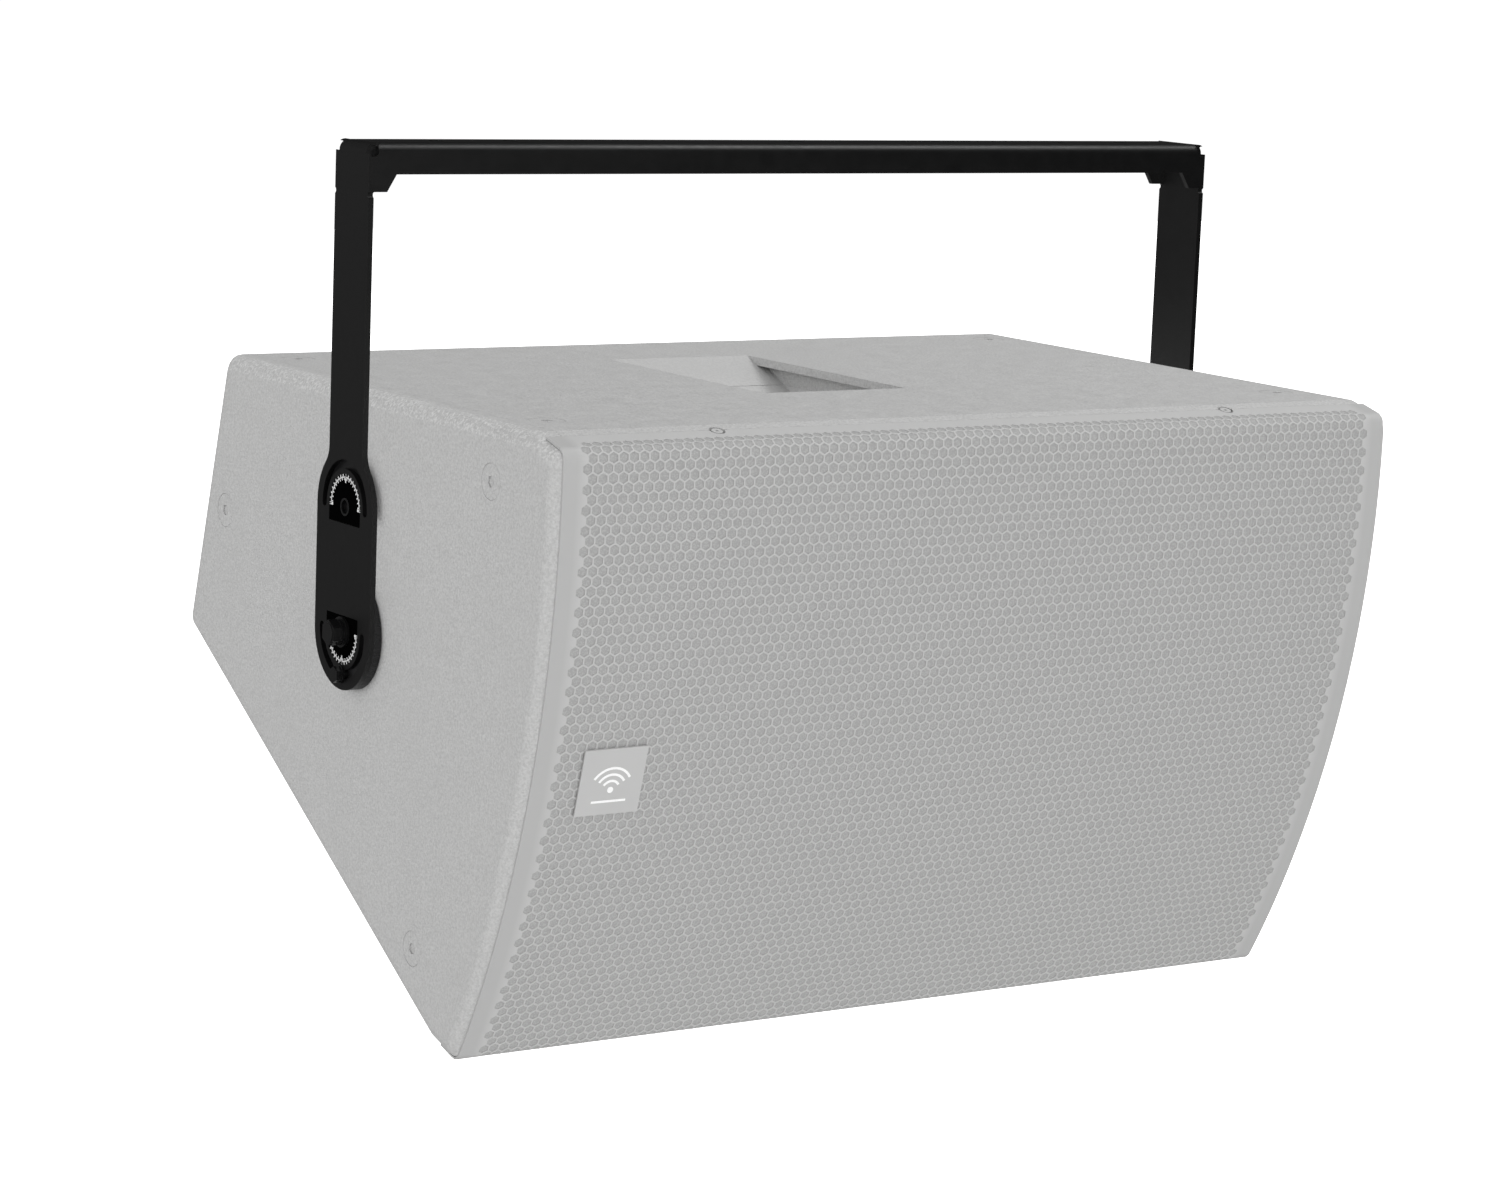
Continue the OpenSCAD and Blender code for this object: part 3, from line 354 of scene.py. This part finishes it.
def build_socket_floors(material):
    """Painted floors just inside the key sockets of the flush screws."""
    verts, faces = [], []
    sunk, thick, r = 1.0 * MM, 0.5 * MM, 3.9 * MM
    rim = [(r * math.cos(math.radians(a)), r * math.sin(math.radians(a))) for a in range(0, 360, 30)]

    def floor(middle, first, second, normal):
        def place(a, b, h):
            return middle + first * a + second * b + normal * h

        prism(verts, faces, rim, place, -sunk - thick, -sunk)

    across = Vector((1, 0, 0))
    for side in (-1, 1):
        for u, v in SIDE_POINTS:
            floor(cab(side * SIDE_X, u, v), FORWARD, UPWARD, across * side)
        for s in SLOPE_POINTS:
            for m in (-1, 1):
                u, v = s * math.cos(WEDGE_HALF), REAR_HALF + s * math.sin(WEDGE_HALF)
                slope = FORWARD * math.cos(WEDGE_HALF) + UPWARD * (m * math.sin(WEDGE_HALF))
                normal = UPWARD * (m * math.cos(WEDGE_HALF)) - FORWARD * math.sin(WEDGE_HALF)
                floor(cab(side * SLOPE_X, u, m * v), across, slope, normal)
    return add_mesh("socket_floors", verts, faces, "cabinet", material)


# ---------- node materials ----------

class Look:
    """A node material under construction. Coordinates are the CAD's, in metres."""

    def __init__(self, name, color, rough, metal=0.0, spec=0.5):
        self.mat = bpy.data.materials.new(name)
        self.mat.use_nodes = True
        self.tree = self.mat.node_tree
        self.shader = self.tree.nodes["Principled BSDF"]
        coords = self.node("ShaderNodeTexCoord")
        self.pos, self.facing = coords.outputs["Object"], coords.outputs["Normal"]
        self.set("Base Color", (*color, 1))
        self.set("Roughness", rough)
        self.set("Metallic", metal)
        self.set("Specular IOR Level", spec)
        self.mat.diffuse_color = (*color, 1)
        self.height = None

    def node(self, kind, **props):
        n = self.tree.nodes.new(kind)
        for key, value in props.items():
            setattr(n, key, value)
        return n

    def feed(self, socket, value):
        if isinstance(value, bpy.types.NodeSocket):
            self.tree.links.new(value, socket)
        else:
            socket.default_value = value

    def set(self, name, value):
        self.feed(self.shader.inputs[name], value)

    def noise(self, scale, detail=3.0, rough=0.55, distort=0.0, stretch=None):
        n = self.node("ShaderNodeTexNoise")
        self.feed(n.inputs["Vector"], self.stretched(stretch) if stretch else self.pos)
        for key, value in (("Scale", scale), ("Detail", detail), ("Roughness", rough), ("Distortion", distort)):
            n.inputs[key].default_value = value
        return n.outputs["Fac"]

    def stretched(self, stretch):
        m = self.node("ShaderNodeMapping")
        self.feed(m.inputs["Vector"], self.pos)
        m.inputs["Scale"].default_value = stretch
        return m.outputs["Vector"]

    def cells(self, scale):
        n = self.node("ShaderNodeTexVoronoi", feature="F1")
        self.feed(n.inputs["Vector"], self.pos)
        n.inputs["Scale"].default_value = scale
        return n.outputs["Distance"]

    def bands(self, direction, scale, distort=0.0):
        n = self.node("ShaderNodeTexWave", bands_direction=direction)
        self.feed(n.inputs["Vector"], self.pos)
        n.inputs["Scale"].default_value = scale
        n.inputs["Distortion"].default_value = distort
        return n.outputs["Fac"]

    def span(self, value, a, b, low, high):
        n = self.node("ShaderNodeMapRange")
        for socket, v in zip(n.inputs[:5], (value, a, b, low, high)):
            self.feed(socket, v)
        return n.outputs["Result"]

    def math(self, op, a, b=0.0):
        n = self.node("ShaderNodeMath", operation=op)
        self.feed(n.inputs[0], a)
        self.feed(n.inputs[1], b)
        return n.outputs[0]

    def mix(self, fac, a, b):
        n = self.node("ShaderNodeMix", data_type="RGBA")
        self.feed(n.inputs[0], fac)
        self.feed(n.inputs[6], a if isinstance(a, bpy.types.NodeSocket) else (*a, 1))
        self.feed(n.inputs[7], b if isinstance(b, bpy.types.NodeSocket) else (*b, 1))
        return n.outputs[2]

    def edges(self, radius, low=0.02, high=0.35):
        """Mask that is 1 on sharp convex and concave edges, within radius."""
        bevel = self.node("ShaderNodeBevel", samples=4)
        bevel.inputs["Radius"].default_value = radius
        geo = self.node("ShaderNodeNewGeometry")
        dot = self.node("ShaderNodeVectorMath", operation="DOT_PRODUCT")
        self.feed(dot.inputs[0], bevel.outputs["Normal"])
        self.feed(dot.inputs[1], geo.outputs["Normal"])
        return self.span(self.math("SUBTRACT", 1.0, dot.outputs["Value"]), low, high, 0.0, 1.0)

    def rounded(self):
        """Mask that is 1 on the big rounded edges between the top and the sides, where a speckled highlight is
        painted.
        """
        split = self.node("ShaderNodeSeparateXYZ")
        self.feed(split.inputs[0], self.facing)
        across = self.span(self.math("ABSOLUTE", split.outputs["X"]), 0.12, 0.45, 0, 1)
        return self.math("MULTIPLY", across, self.span(split.outputs["Z"], 0.12, 0.45, 0, 1))

    def bump(self, height, distance, strength=1.0):
        n = self.node("ShaderNodeBump")
        n.inputs["Strength"].default_value = strength
        n.inputs["Distance"].default_value = distance
        self.feed(n.inputs["Height"], height)
        if self.height:
            self.feed(n.inputs["Normal"], self.height)
        self.height = n.outputs["Normal"]
        self.set("Normal", self.height)

    def soften(self, radius):
        """Rounds sharp edges in the shading only."""
        bevel = self.node("ShaderNodeBevel", samples=4)
        bevel.inputs["Radius"].default_value = radius
        self.height = bevel.outputs["Normal"]
        self.set("Normal", self.height)


PALE = (0.5, 0.5, 0.497)
BLACK = (0.0024, 0.0024, 0.0025)
STEEL_BLACK = (0.004, 0.004, 0.0042)
LABEL_BLACK = (0.0008, 0.0008, 0.0008)


def shade(color, k):
    return tuple(min(c * k, 1.0) for c in color)


def cloudy(look, color, scale, low, high, edge_sheen_and_wear=None, radius=0.6 * MM, amount=0.6):
    """Base colour that wanders between two shades, and lightens along edges: a painted edge highlight, together
    with edge wear.
    """
    tone = look.mix(look.noise(scale, 4), shade(color, low), shade(color, high))
    if edge_sheen_and_wear:
        tone = look.mix(look.math("MULTIPLY", look.edges(radius), amount), tone, edge_sheen_and_wear)
    look.set("Base Color", tone)


def textured_paint(name, color, grain, depth):
    """Rolled textured paint: pebbled grain, and a speckled painted highlight on the rounded top edges."""
    look = Look(name, color, 0.55, spec=0.35)
    pebbles = look.noise(grain, 2.5, 0.5)
    speckle = look.span(look.noise(grain * 0.85, 2, 0.7), 0.36, 0.64, 0, 1)
    tone = look.mix(speckle, shade(color, 0.89), shade(color, 1.11))
    tone = look.mix(look.span(look.noise(9, 4), 0.3, 0.7, 0, 0.25), tone, shade(color, 0.95))
    # Speckled painted highlight on the rounded edges between the top and the sides.
    sheen_speckle = look.span(look.noise(grain * 0.8, 2, 0.6), 0.5, 0.62, 0, 1)
    tone = look.mix(look.math("MULTIPLY", sheen_speckle, look.rounded()), tone, shade(color, 1.3))
    # Lighter along sharp edges: a painted edge highlight.
    look.set("Base Color", look.mix(look.math("MULTIPLY", look.edges(1.2 * MM), 0.25), tone, shade(color, 1.12)))
    look.set("Roughness", look.span(look.noise(60, 3), 0.3, 0.7, 0.48, 0.64))
    look.soften(1.0 * MM)
    look.bump(pebbles, depth, 1.0)
    look.bump(look.noise(grain * 2.1, 2, 0.6), depth * 0.5, 1.0)
    return look.mat


def powder_coat(name, color, rough, edge, radius=0.7 * MM):
    """Satin powder coat: faint orange peel, lighter along the edges as a painted edge highlight."""
    look = Look(name, color, rough, spec=0.38)
    cloudy(look, color, 22, 0.85, 1.15, edge_sheen_and_wear=edge, radius=radius, amount=0.6)
    look.set("Roughness", look.span(look.noise(90, 3), 0.3, 0.7, rough - 0.03, rough + 0.04))
    look.bump(look.noise(900, 2, 0.5), 0.006 * MM, 0.5)
    return look.mat


def metal(name, color, rough):
    look = Look(name, color, rough, metal=1.0)
    cloudy(look, color, 120, 0.85, 1.1, edge_sheen_and_wear=shade(color, 1.3), radius=0.5 * MM)
    look.set("Roughness", look.span(look.noise(160, 4), 0.3, 0.7, rough - 0.08, rough + 0.12))
    look.bump(look.noise(700, 3), 0.01 * MM, 0.5)
    return look.mat


def rubber(name, color):
    look = Look(name, color, 0.6, spec=0.3)
    cloudy(look, color, 50, 0.8, 1.25)
    look.set("Roughness", look.span(look.noise(110, 3), 0.3, 0.7, 0.5, 0.72))
    look.bump(look.noise(1400, 2), 0.03 * MM, 0.6)
    return look.mat


def plastic(name, color, rough, grain=1600):
    look = Look(name, color, rough, spec=0.4)
    cloudy(look, color, 30, 0.9, 1.1, edge_sheen_and_wear=shade(color, 1.8), radius=0.5 * MM, amount=0.4)
    look.set("Roughness", look.span(look.noise(80, 3), 0.3, 0.7, rough - 0.06, rough + 0.08))
    look.bump(look.cells(grain), 0.02 * MM, 0.5)
    return look.mat


def plywood(name, color):
    """Plies seen on cut edges, and grain along the faces."""
    look = Look(name, color, 0.6)
    plies = look.bands("Y", 110, 0.4)
    grain = look.noise(60, 5, 0.6, 1.2, stretch=(0.12, 1, 1))
    tone = look.mix(grain, shade(color, 0.78), shade(color, 1.2))
    look.set("Base Color", look.mix(look.math("MULTIPLY", plies, 0.35), tone, shade(color, 0.55)))
    look.bump(grain, 0.15 * MM, 0.5)
    return look.mat


def open_foam(name, color, scale, depth):
    look = Look(name, color, 0.95, spec=0.1)
    pores = look.cells(scale)
    look.set("Base Color", look.mix(look.span(pores, 0.05, 0.6, 0, 1), shade(color, 1.06), shade(color, 0.82)))
    look.bump(look.math("SUBTRACT", 1.0, pores), depth, 0.7)
    return look.mat


def paper_cone(name, color):
    look = Look(name, color, 0.75, spec=0.25)
    fibres = look.noise(420, 6, 0.7, 0.8)
    look.set("Base Color", look.mix(fibres, shade(color, 0.7), shade(color, 1.6)))
    look.bump(fibres, 0.12 * MM, 0.7)
    look.bump(look.noise(60, 3), 0.2 * MM, 0.3)
    return look.mat


def woven(name, color, pitch):
    """Plain weave from two crossed sets of bands."""
    look = Look(name, color, 0.85, spec=0.2)
    threads = look.math("MULTIPLY", look.bands("X", 3.14 / pitch / 10), look.bands("Z", 3.14 / pitch / 10))
    look.set("Base Color", look.mix(threads, shade(color, 0.7), shade(color, 1.2)))
    look.bump(threads, 0.15 * MM, 0.8)
    return look.mat


def copper_wire(name, color):
    look = Look(name, color, 0.28, metal=1.0)
    turns = look.bands("DIAGONAL", 260, 0.2)
    look.set("Base Color", look.mix(turns, shade(color, 0.6), shade(color, 1.15)))
    look.bump(turns, 0.12 * MM, 0.8)
    return look.mat


def ferrite(name, color):
    look = Look(name, color, 0.7, spec=0.3)
    cloudy(look, color, 300, 0.7, 1.5, edge_sheen_and_wear=shade(color, 2.2), radius=1 * MM)
    look.bump(look.cells(900), 0.05 * MM, 0.6)
    return look.mat


def circuit(name, color):
    """Green lacquer over a pattern of copper tracks."""
    look = Look(name, color, 0.35)
    tracks = look.node("ShaderNodeTexBrick")
    look.feed(tracks.inputs["Vector"], look.pos)
    tracks.inputs["Scale"].default_value = 70
    tracks.inputs["Mortar Size"].default_value = 0.09
    look.set("Base Color", look.mix(tracks.outputs["Fac"], color, shade(color, 2.2)))
    look.bump(tracks.outputs["Fac"], 0.05 * MM, 0.6)
    return look.mat


def wrapped_film(name, color):
    look = Look(name, color, 0.3)
    cloudy(look, color, 140, 0.85, 1.15)
    look.bump(look.bands("Y", 160, 0.3), 0.05 * MM, 0.5)
    return look.mat


def braided(name, color):
    look = Look(name, color, 0.5)
    look.set("Base Color", look.mix(look.noise(400, 3), shade(color, 0.7), shade(color, 1.4)))
    look.bump(look.bands("DIAGONAL", 320, 0.1), 0.08 * MM, 0.7)
    return look.mat


def ribbed_steel(name, color):
    """Black steel with a finely ribbed rim round the pivot axis."""
    look = Look(name, color, 0.42, spec=0.3)
    cloudy(look, color, 60, 0.85, 1.2, edge_sheen_and_wear=shade(color, 2.4), radius=0.5 * MM, amount=0.5)
    split = look.node("ShaderNodeSeparateXYZ")
    look.feed(split.inputs[0], look.pos)
    angle = look.math("ARCTAN2", split.outputs["Y"], look.math("SUBTRACT", split.outputs["Z"], PIVOT_Z))
    look.bump(look.math("SINE", look.math("MULTIPLY", angle, 170.0)), 0.12 * MM, 0.6)
    return look.mat


def grille_coat():
    """Smooth coat over steel, a shade darker on the plain side margins: painted shade beside the side lips."""
    look = Look("grille_coat", PALE, 0.5, spec=0.3)
    split = look.node("ShaderNodeSeparateXYZ")
    look.feed(split.inputs[0], look.pos)
    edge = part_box("grille")[1].x
    margin_shade = look.span(look.math("ABSOLUTE", split.outputs["X"]), edge - 16 * MM, edge - 9 * MM, 0, 1)
    tone = look.mix(look.noise(12, 4), shade(PALE, 0.965), shade(PALE, 1.0))
    # Darker on the plain margins next to the side lips: painted shade.
    look.set("Base Color", look.mix(margin_shade, tone, shade(PALE, 0.87)))
    look.set("Roughness", look.span(look.noise(70, 3), 0.3, 0.7, 0.45, 0.58))
    look.bump(look.noise(1500, 2), 0.02 * MM, 0.4)
    return look.mat


def printed(name, color):
    look = Look(name, color, 0.5)
    cloudy(look, color, 700, 0.9, 1.05)
    look.bump(look.noise(2500, 2), 0.01 * MM, 0.4)
    return look.mat


def label_black():
    """Matt black ground of the angle labels."""
    look = Look("label_black", LABEL_BLACK, 0.85, spec=0.01)
    cloudy(look, LABEL_BLACK, 300, 0.7, 1.4)
    look.bump(look.noise(1800, 2), 0.01 * MM, 0.4)
    return look.mat


def cup_paint():
    """Cabinet paint, painted paler down in the moulded recess to lift the shade there."""
    look = Look("cup_paint", PALE, 0.6, spec=0.25)
    split = look.node("ShaderNodeSeparateXYZ")
    look.feed(split.inputs[0], look.pos)
    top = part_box("handle_cup")[1].z
    recess_light_lift = look.span(split.outputs["Z"], top - 8 * MM, top - 42 * MM, 0.0, 1.0)
    # Paler towards the bottom of the recess: painted light lifting the shade there.
    tone = look.mix(recess_light_lift, PALE, (0.64, 0.64, 0.636))
    look.set("Base Color", look.mix(look.span(look.noise(480, 2, 0.7), 0.4, 0.6, 0, 0.16), tone, shade(PALE, 0.6)))
    look.set("Roughness", look.span(look.noise(60, 3), 0.3, 0.7, 0.52, 0.68))
    look.bump(look.noise(620, 2.5, 0.5), 0.4 * MM, 0.8)
    return look.mat


def badge_plate():
    look = Look("badge_face", PALE, 0.4, spec=0.45)
    # The lighter rim is a painted edge highlight.
    cloudy(look, PALE, 30, 0.98, 1.04, edge_sheen_and_wear=(0.75, 0.75, 0.75), radius=0.4 * MM, amount=0.5)
    look.bump(look.noise(1200, 3, stretch=(1, 12, 12)), 0.01 * MM, 0.5)
    return look.mat


looks = {
    # The fourth value of each powder coat is the colour of its painted edge highlight.
    "yoke_coat": powder_coat("yoke_coat", BLACK, 0.4, (0.009, 0.009, 0.0095), 0.5 * MM),
    "scale_print": label_black(),
    "cabinet_paint": textured_paint("cabinet_paint", PALE, 620, 0.5 * MM),
    "birch_ply": plywood("birch_ply", (0.62, 0.47, 0.3)),
    "grille_coat": grille_coat(),
    "grille_foam": open_foam("grille_foam", (0.43, 0.43, 0.427), 900, 0.1 * MM),
    "badge_face": badge_plate(),
    "bare_steel": metal("bare_steel", (0.55, 0.55, 0.56), 0.32),
    "rubber": rubber("rubber", (0.012, 0.012, 0.012)),
    "black_steel": powder_coat("black_steel", STEEL_BLACK, 0.3, (0.03, 0.03, 0.031), 0.5 * MM),
    "cast_aluminium": metal("cast_aluminium", (0.2, 0.2, 0.205), 0.5),
    "treated_cloth": woven("treated_cloth", (0.02, 0.02, 0.02), 0.8 * MM),
    "spider_cloth": woven("spider_cloth", (0.5, 0.33, 0.12), 0.7 * MM),
    "cone_paper": paper_cone("cone_paper", (0.025, 0.025, 0.026)),
    "coil_former": plastic("coil_former", (0.55, 0.4, 0.2), 0.4),
    "copper": copper_wire("copper", (0.75, 0.32, 0.16)),
    "ferrite": ferrite("ferrite", (0.03, 0.03, 0.032)),
    "horn_plastic": plastic("horn_plastic", (0.02, 0.02, 0.021), 0.45),
    "diaphragm_metal": metal("diaphragm_metal", (0.7, 0.7, 0.72), 0.2),
    "circuit_board": circuit("circuit_board", (0.01, 0.09, 0.03)),
    "capacitor_film": wrapped_film("capacitor_film", (0.05, 0.08, 0.3)),
    "resistor_ceramic": ferrite("resistor_ceramic", (0.72, 0.7, 0.65)),
    "brass": metal("brass", (0.75, 0.55, 0.22), 0.3),
    "socket_plastic": plastic("socket_plastic", (0.015, 0.02, 0.05), 0.35),
    "cable_jacket": braided("cable_jacket", (0.03, 0.02, 0.02)),
    "damping_foam": open_foam("damping_foam", (0.1, 0.1, 0.11), 260, 1.5 * MM),
}
own_looks = {
    "pivot_spacers": ribbed_steel("spacer_steel", (0.014, 0.014, 0.0145)),
    "handle_cup": cup_paint(),
}


# ---------- dress the CAD nodes ----------

def dress():
    for part in frame["record"]["subparts"]:
        obj = frame["nodes"][part["node"]]
        mat = own_looks.get(part["node"], looks[part["material_slot"]])
        if not obj.material_slots:
            obj.data.materials.append(mat)
        for slot in obj.material_slots:
            slot.material = mat


dress()
# The yoke casts no shade on the cabinet, as under very even light.
frame["nodes"]["yoke"].visible_diffuse = False
frame["nodes"]["yoke"].visible_shadow = False
build_grille(looks["grille_coat"])
build_foam_face(looks["grille_foam"])
build_socket_floors(looks["cabinet_paint"])
white_print = printed("white_print", (0.82, 0.82, 0.82))
build_badge_mark(printed("badge_print", (0.95, 0.95, 0.95)))
for side, side_name in ((-1, "left"), (1, "right")):
    build_scale(white_print, side, PIVOT_Z, -1, f"scale_low_{side_name}")
    build_scale(white_print, side, PIVOT_Z + PIVOT_GAP, 1, f"scale_high_{side_name}")
    build_plug(looks["black_steel"], side, f"pivot_plug_{side_name}")
    # The dark discs behind the free pivot slots are painted shade.
    build_slot_shade_disc(looks["black_steel"], side, f"painted_slot_shade_{side_name}")


# ---------- stage, light and camera ----------

FILL = 0.74                 # what the room gives to everything matt
SHINE = 0.14                # what it gives to reflections, away from the black cards

def build_floor():
    """Large pale floor well under the hanging cabinet, clear from below."""
    size, z = 14, -1.3
    mesh = bpy.data.meshes.new("floor")
    mesh.from_pydata([(-size, -size, z), (size, -size, z), (size, size, z), (-size, size, z)], [], [(0, 1, 2, 3)])
    floor = bpy.data.objects.new("floor", mesh)
    bpy.context.scene.collection.objects.link(floor)
    look = Look("floor_pale", (0.9, 0.9, 0.9), 0.9, spec=0.1)
    look.set("Base Color", look.mix(look.noise(3, 3), (0.88, 0.88, 0.88), (0.92, 0.92, 0.92)))
    look.set("Emission Color", (1, 1, 1, 1))
    seen = look.node("ShaderNodeLightPath").outputs["Is Camera Ray"]
    look.set("Emission Strength", look.math("MULTIPLY", seen, 1.1))
    out = look.tree.nodes["Material Output"]
    clear = look.node("ShaderNodeBsdfTransparent")
    both = look.node("ShaderNodeMixShader")
    geo = look.node("ShaderNodeNewGeometry")
    look.feed(both.inputs[0], geo.outputs["Backfacing"])
    look.feed(both.inputs[1], look.shader.outputs[0])
    look.feed(both.inputs[2], clear.outputs[0])
    look.feed(out.inputs["Surface"], both.outputs[0])
    mesh.materials.append(look.mat)
    floor.visible_glossy = False


CARDS = ((0.54, 0.83, 0.15), (0.54, -0.83, -0.15))  # where the crossbar's top and front reflect


def flag(nodes, links, direction):
    """Share of the reflected room left round one direction, where a black card hangs in the studio."""
    geometry, dot = nodes.new("ShaderNodeNewGeometry"), nodes.new("ShaderNodeVectorMath")
    dot.operation = "DOT_PRODUCT"
    dot.inputs[1].default_value = Vector(direction).normalized()
    links.new(geometry.outputs["Incoming"], dot.inputs[0])
    fall = nodes.new("ShaderNodeMapRange")
    for socket, value in zip(fall.inputs[1:5], (-0.93, -0.7, 0.15, 1.0)):
        socket.default_value = value
    links.new(dot.outputs["Value"], fall.inputs[0])
    return fall.outputs["Result"]


def build_world():
    """White to the camera, a soft room to matt surfaces, and a dimmer one to reflections."""
    world = bpy.data.worlds.new("studio")
    bpy.context.scene.world = world
    world.use_nodes = True
    nodes, links = world.node_tree.nodes, world.node_tree.links
    nodes.clear()
    out = nodes.new("ShaderNodeOutputWorld")
    seen, fill = nodes.new("ShaderNodeBackground"), nodes.new("ShaderNodeBackground")
    mix, path = nodes.new("ShaderNodeMixShader"), nodes.new("ShaderNodeLightPath")
    seen.inputs["Color"].default_value = (1, 1, 1, 1)
    seen.inputs["Strength"].default_value = 1.05
    fill.inputs["Color"].default_value = (1, 1, 1, 1)
    shine, dimmed = nodes.new("ShaderNodeMath"), nodes.new("ShaderNodeMath")
    shine.operation = dimmed.operation = "MULTIPLY"
    for card, socket in zip(CARDS, shine.inputs):
        links.new(flag(nodes, links, card), socket)
    links.new(shine.outputs[0], dimmed.inputs[0])
    dimmed.inputs[1].default_value = SHINE
    strength = nodes.new("ShaderNodeMapRange")
    links.new(path.outputs["Is Glossy Ray"], strength.inputs["Value"])
    strength.inputs["To Min"].default_value = FILL
    links.new(dimmed.outputs[0], strength.inputs["To Max"])
    links.new(strength.outputs["Result"], fill.inputs["Strength"])
    links.new(path.outputs["Is Camera Ray"], mix.inputs[0])
    links.new(fill.outputs[0], mix.inputs[1])
    links.new(seen.outputs[0], mix.inputs[2])
    links.new(mix.outputs[0], out.inputs["Surface"])


def softbox(name, place, aim, size, power):
    data = bpy.data.lights.new(name, "AREA")
    data.shape = "SQUARE"
    data.size = size
    data.energy = power
    obj = bpy.data.objects.new(name, data)
    obj.location = place
    obj.rotation_euler = (Vector(aim) - Vector(place)).to_track_quat("-Z", "Y").to_euler()
    bpy.context.scene.collection.objects.link(obj)


CAMERA_LENS = 102.304
CAMERA_PLACE = (-1.68886, -2.54707, 0.1664)
CAMERA_RIGHT = Vector((0.839784, -0.541591, 0.037968))
CAMERA_UP = Vector((0.055906, 0.155823, 0.986202))


def build_camera():
    data = bpy.data.cameras.new("camera")
    data.sensor_width = 36
    data.lens = CAMERA_LENS
    data.clip_end = 100
    obj = bpy.data.objects.new("camera", data)
    turn = Matrix((CAMERA_RIGHT, CAMERA_UP, CAMERA_RIGHT.cross(CAMERA_UP))).transposed().to_4x4()
    obj.matrix_world = Matrix.Translation(CAMERA_PLACE) @ turn
    bpy.context.scene.collection.objects.link(obj)
    bpy.context.scene.camera = obj


build_floor()
build_world()
centre = (0, 0, -0.33)
softbox("left", (-3.4, 0.9, 0.4), centre, 2.6, 24)
softbox("front", (-0.4, -3.6, 0.1), centre, 2.6, 29)
softbox("low", (-0.5, -2.4, -1.1), centre, 1.6, 6)
softbox("over", (1.35, -0.4, 2.1), (0, 0, 0), 1.1, 23)
build_camera()
bpy.context.scene.view_settings.view_transform = "Standard"
